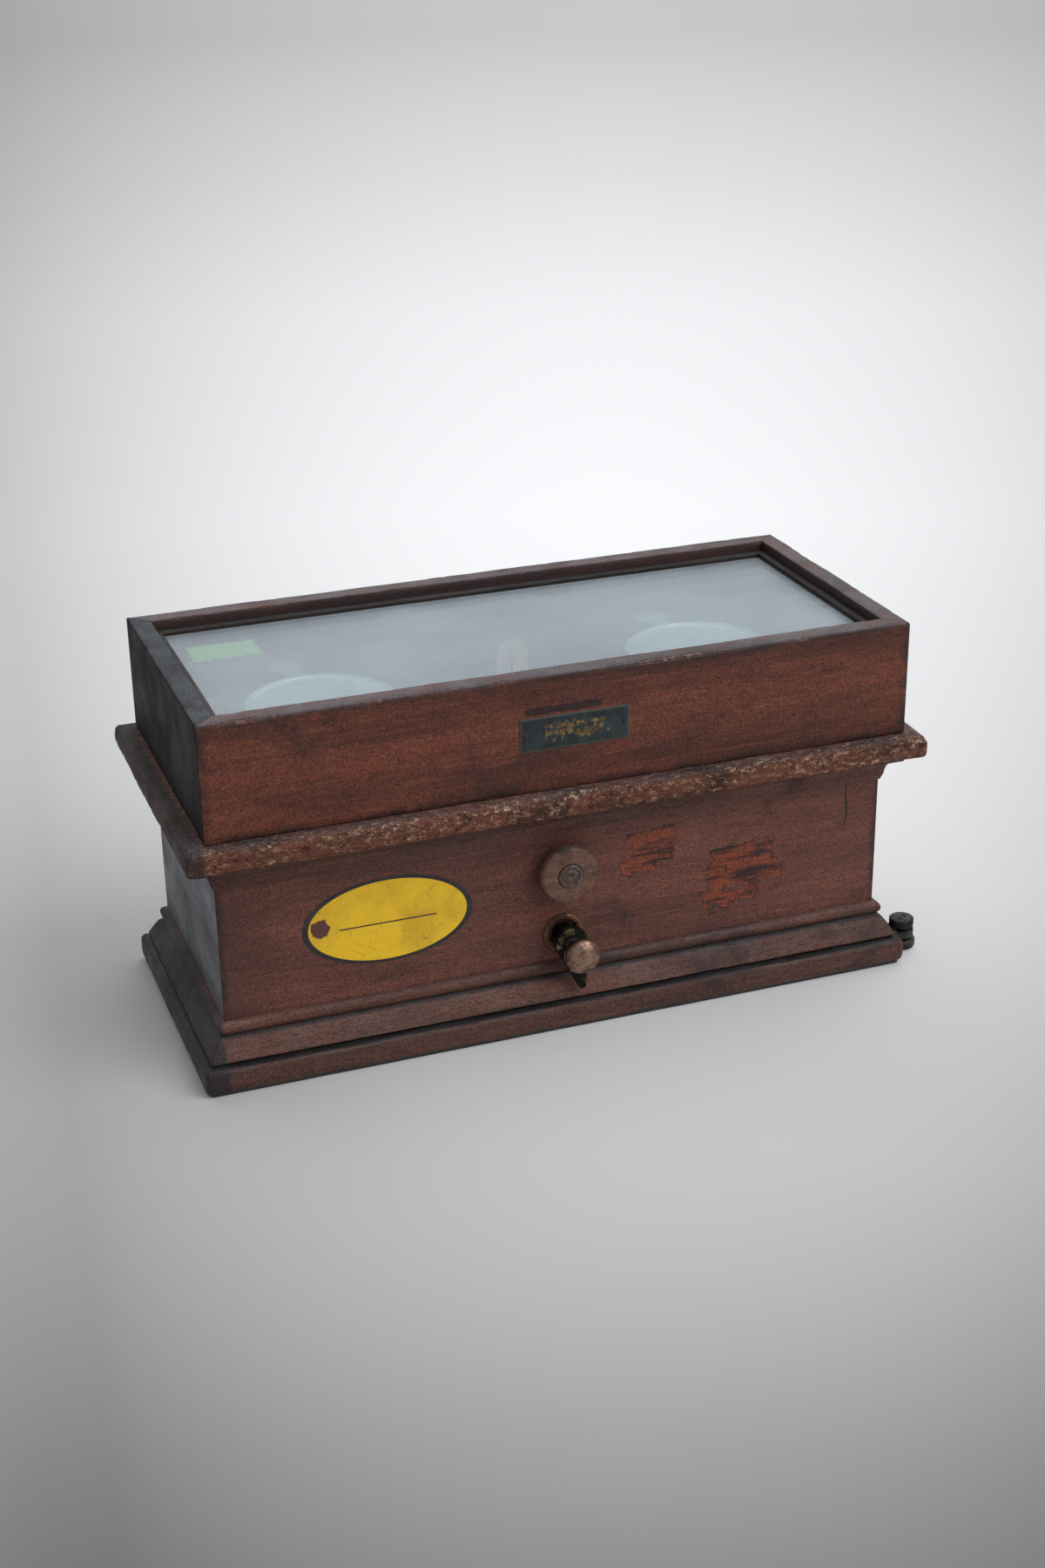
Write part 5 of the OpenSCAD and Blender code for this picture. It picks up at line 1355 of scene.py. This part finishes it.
# %% [markdown]
# ## Studio
# The floor is not a plain one. Its grey is painted by the distance and the bearing from the point
# below the photograph's camera, with nine greys tuned against the photograph's background, so that
# it deepens towards the lower edge and the sides as there. The tone stays put when a view moves the
# camera. Far to the side or behind that point the floor is one pale grey.
#
# A wide soft lamp shines from the upper right in front and a weaker one from above at the back. The
# sky, dimmer at the left, gives the rest.

# %% Floor
floor_mesh = bpy.data.meshes.new("studio_floor")
reach = 30.0
floor_corners = [(-reach, -reach, 0), (reach, -reach, 0), (reach, reach, 0), (-reach, reach, 0)]
floor_mesh.from_pydata(floor_corners, [], [(0, 1, 2, 3)])
floor = linked("studio_floor", floor_mesh)
floor_paint, tree, shader, place = new_material("floor_paint")
# Painted light and shade: brightest a little behind the object, darker towards the near edge, far away and to the
# sides.
FOOT = (camera_place.x, camera_place.y, 0)
away = vectors(tree, "SUBTRACT", place, FOOT)
distance = vectors(tree, "LENGTH", away)
depth = calc(tree, "LOGARITHM", distance, 10.0)
NEAR_LOG, FAR_LOG = -0.3, 0.9
share = put(tree, "MapRange", {"Value": depth, "From Min": NEAR_LOG, "From Max": FAR_LOG}).outputs[0]
painted_light_and_shade_ramp = put(tree, "ValToRGB", {0: share})
STOPS = ((0.55, 120), (0.66, 142), (0.744, 166), (0.951, 212), (1.25, 240), (2.0, 250), (2.87, 241), (3.97, 222),
         (6.3, 198))
while len(painted_light_and_shade_ramp.color_ramp.elements) < len(STOPS):
    painted_light_and_shade_ramp.color_ramp.elements.new(0.5)
for element, (metres, grey) in zip(painted_light_and_shade_ramp.color_ramp.elements, STOPS):
    element.position = (math.log10(metres) - NEAR_LOG) / (FAR_LOG - NEAR_LOG)
    element.color = srgb(grey, grey, grey)
forward, sideways = (
    vectors(tree, "DOT_PRODUCT", away, (way.x, way.y, 0))
    for way in (ahead, level_right))
bearing = calc(tree, "SUBTRACT", calc(tree, "ARCTAN2", sideways, forward), 0.045)
floor_side_painted_shade = times(tree, times(tree, bearing, bearing), 4.6)
keep = calc(tree, "MAXIMUM", calc(tree, "SUBTRACT", 1.0, floor_side_painted_shade), 0.6)
tone = scaled_by(tree, painted_light_and_shade_ramp.outputs[0], keep)
aside = soft_step(tree, calc(tree, "ABSOLUTE", bearing), 0.32, 0.75)
tone = mixed(tree, aside, tone, srgb(222, 222, 222))
feed(tree, shader, {"Base Color": tone, "Roughness": 0.9, "Specular IOR Level": 0.1})
floor_mesh.materials.append(floor_paint)


# %% Lamps and sky
def soft_sun(name, place, strength, spread):
    """A wide soft lamp far away, which shines from a place towards the object."""
    light = bpy.data.lights.new(name, "SUN")
    light.energy = strength
    light.angle = math.radians(spread)
    linked(name, light).rotation_euler = (-Vector(place)).to_track_quat("-Z", "Y").to_euler()
    print("lamp", name, strength)


soft_sun("key", (1.0, -1.2, 1.5), 1.35, 50)
soft_sun("top", (0.3, 0.9, 1.6), 0.6, 60)
sky = bpy.data.worlds.new("studio_sky")
sky.use_nodes = True
tree = sky.node_tree
backdrop = tree.nodes["Background"]
direction = put(tree, "TexCoord").outputs["Generated"]
towards_right = axes(tree, direction)[0]
shade = soft_step(tree, towards_right, -0.9, 0.6, 0.38, 0.72)
backdrop.inputs[0].default_value = (0.93, 0.96, 1.0, 1)
tree.links.new(shade, backdrop.inputs[1])
bpy.context.scene.world = sky
bpy.context.scene.view_settings.view_transform = "Standard"
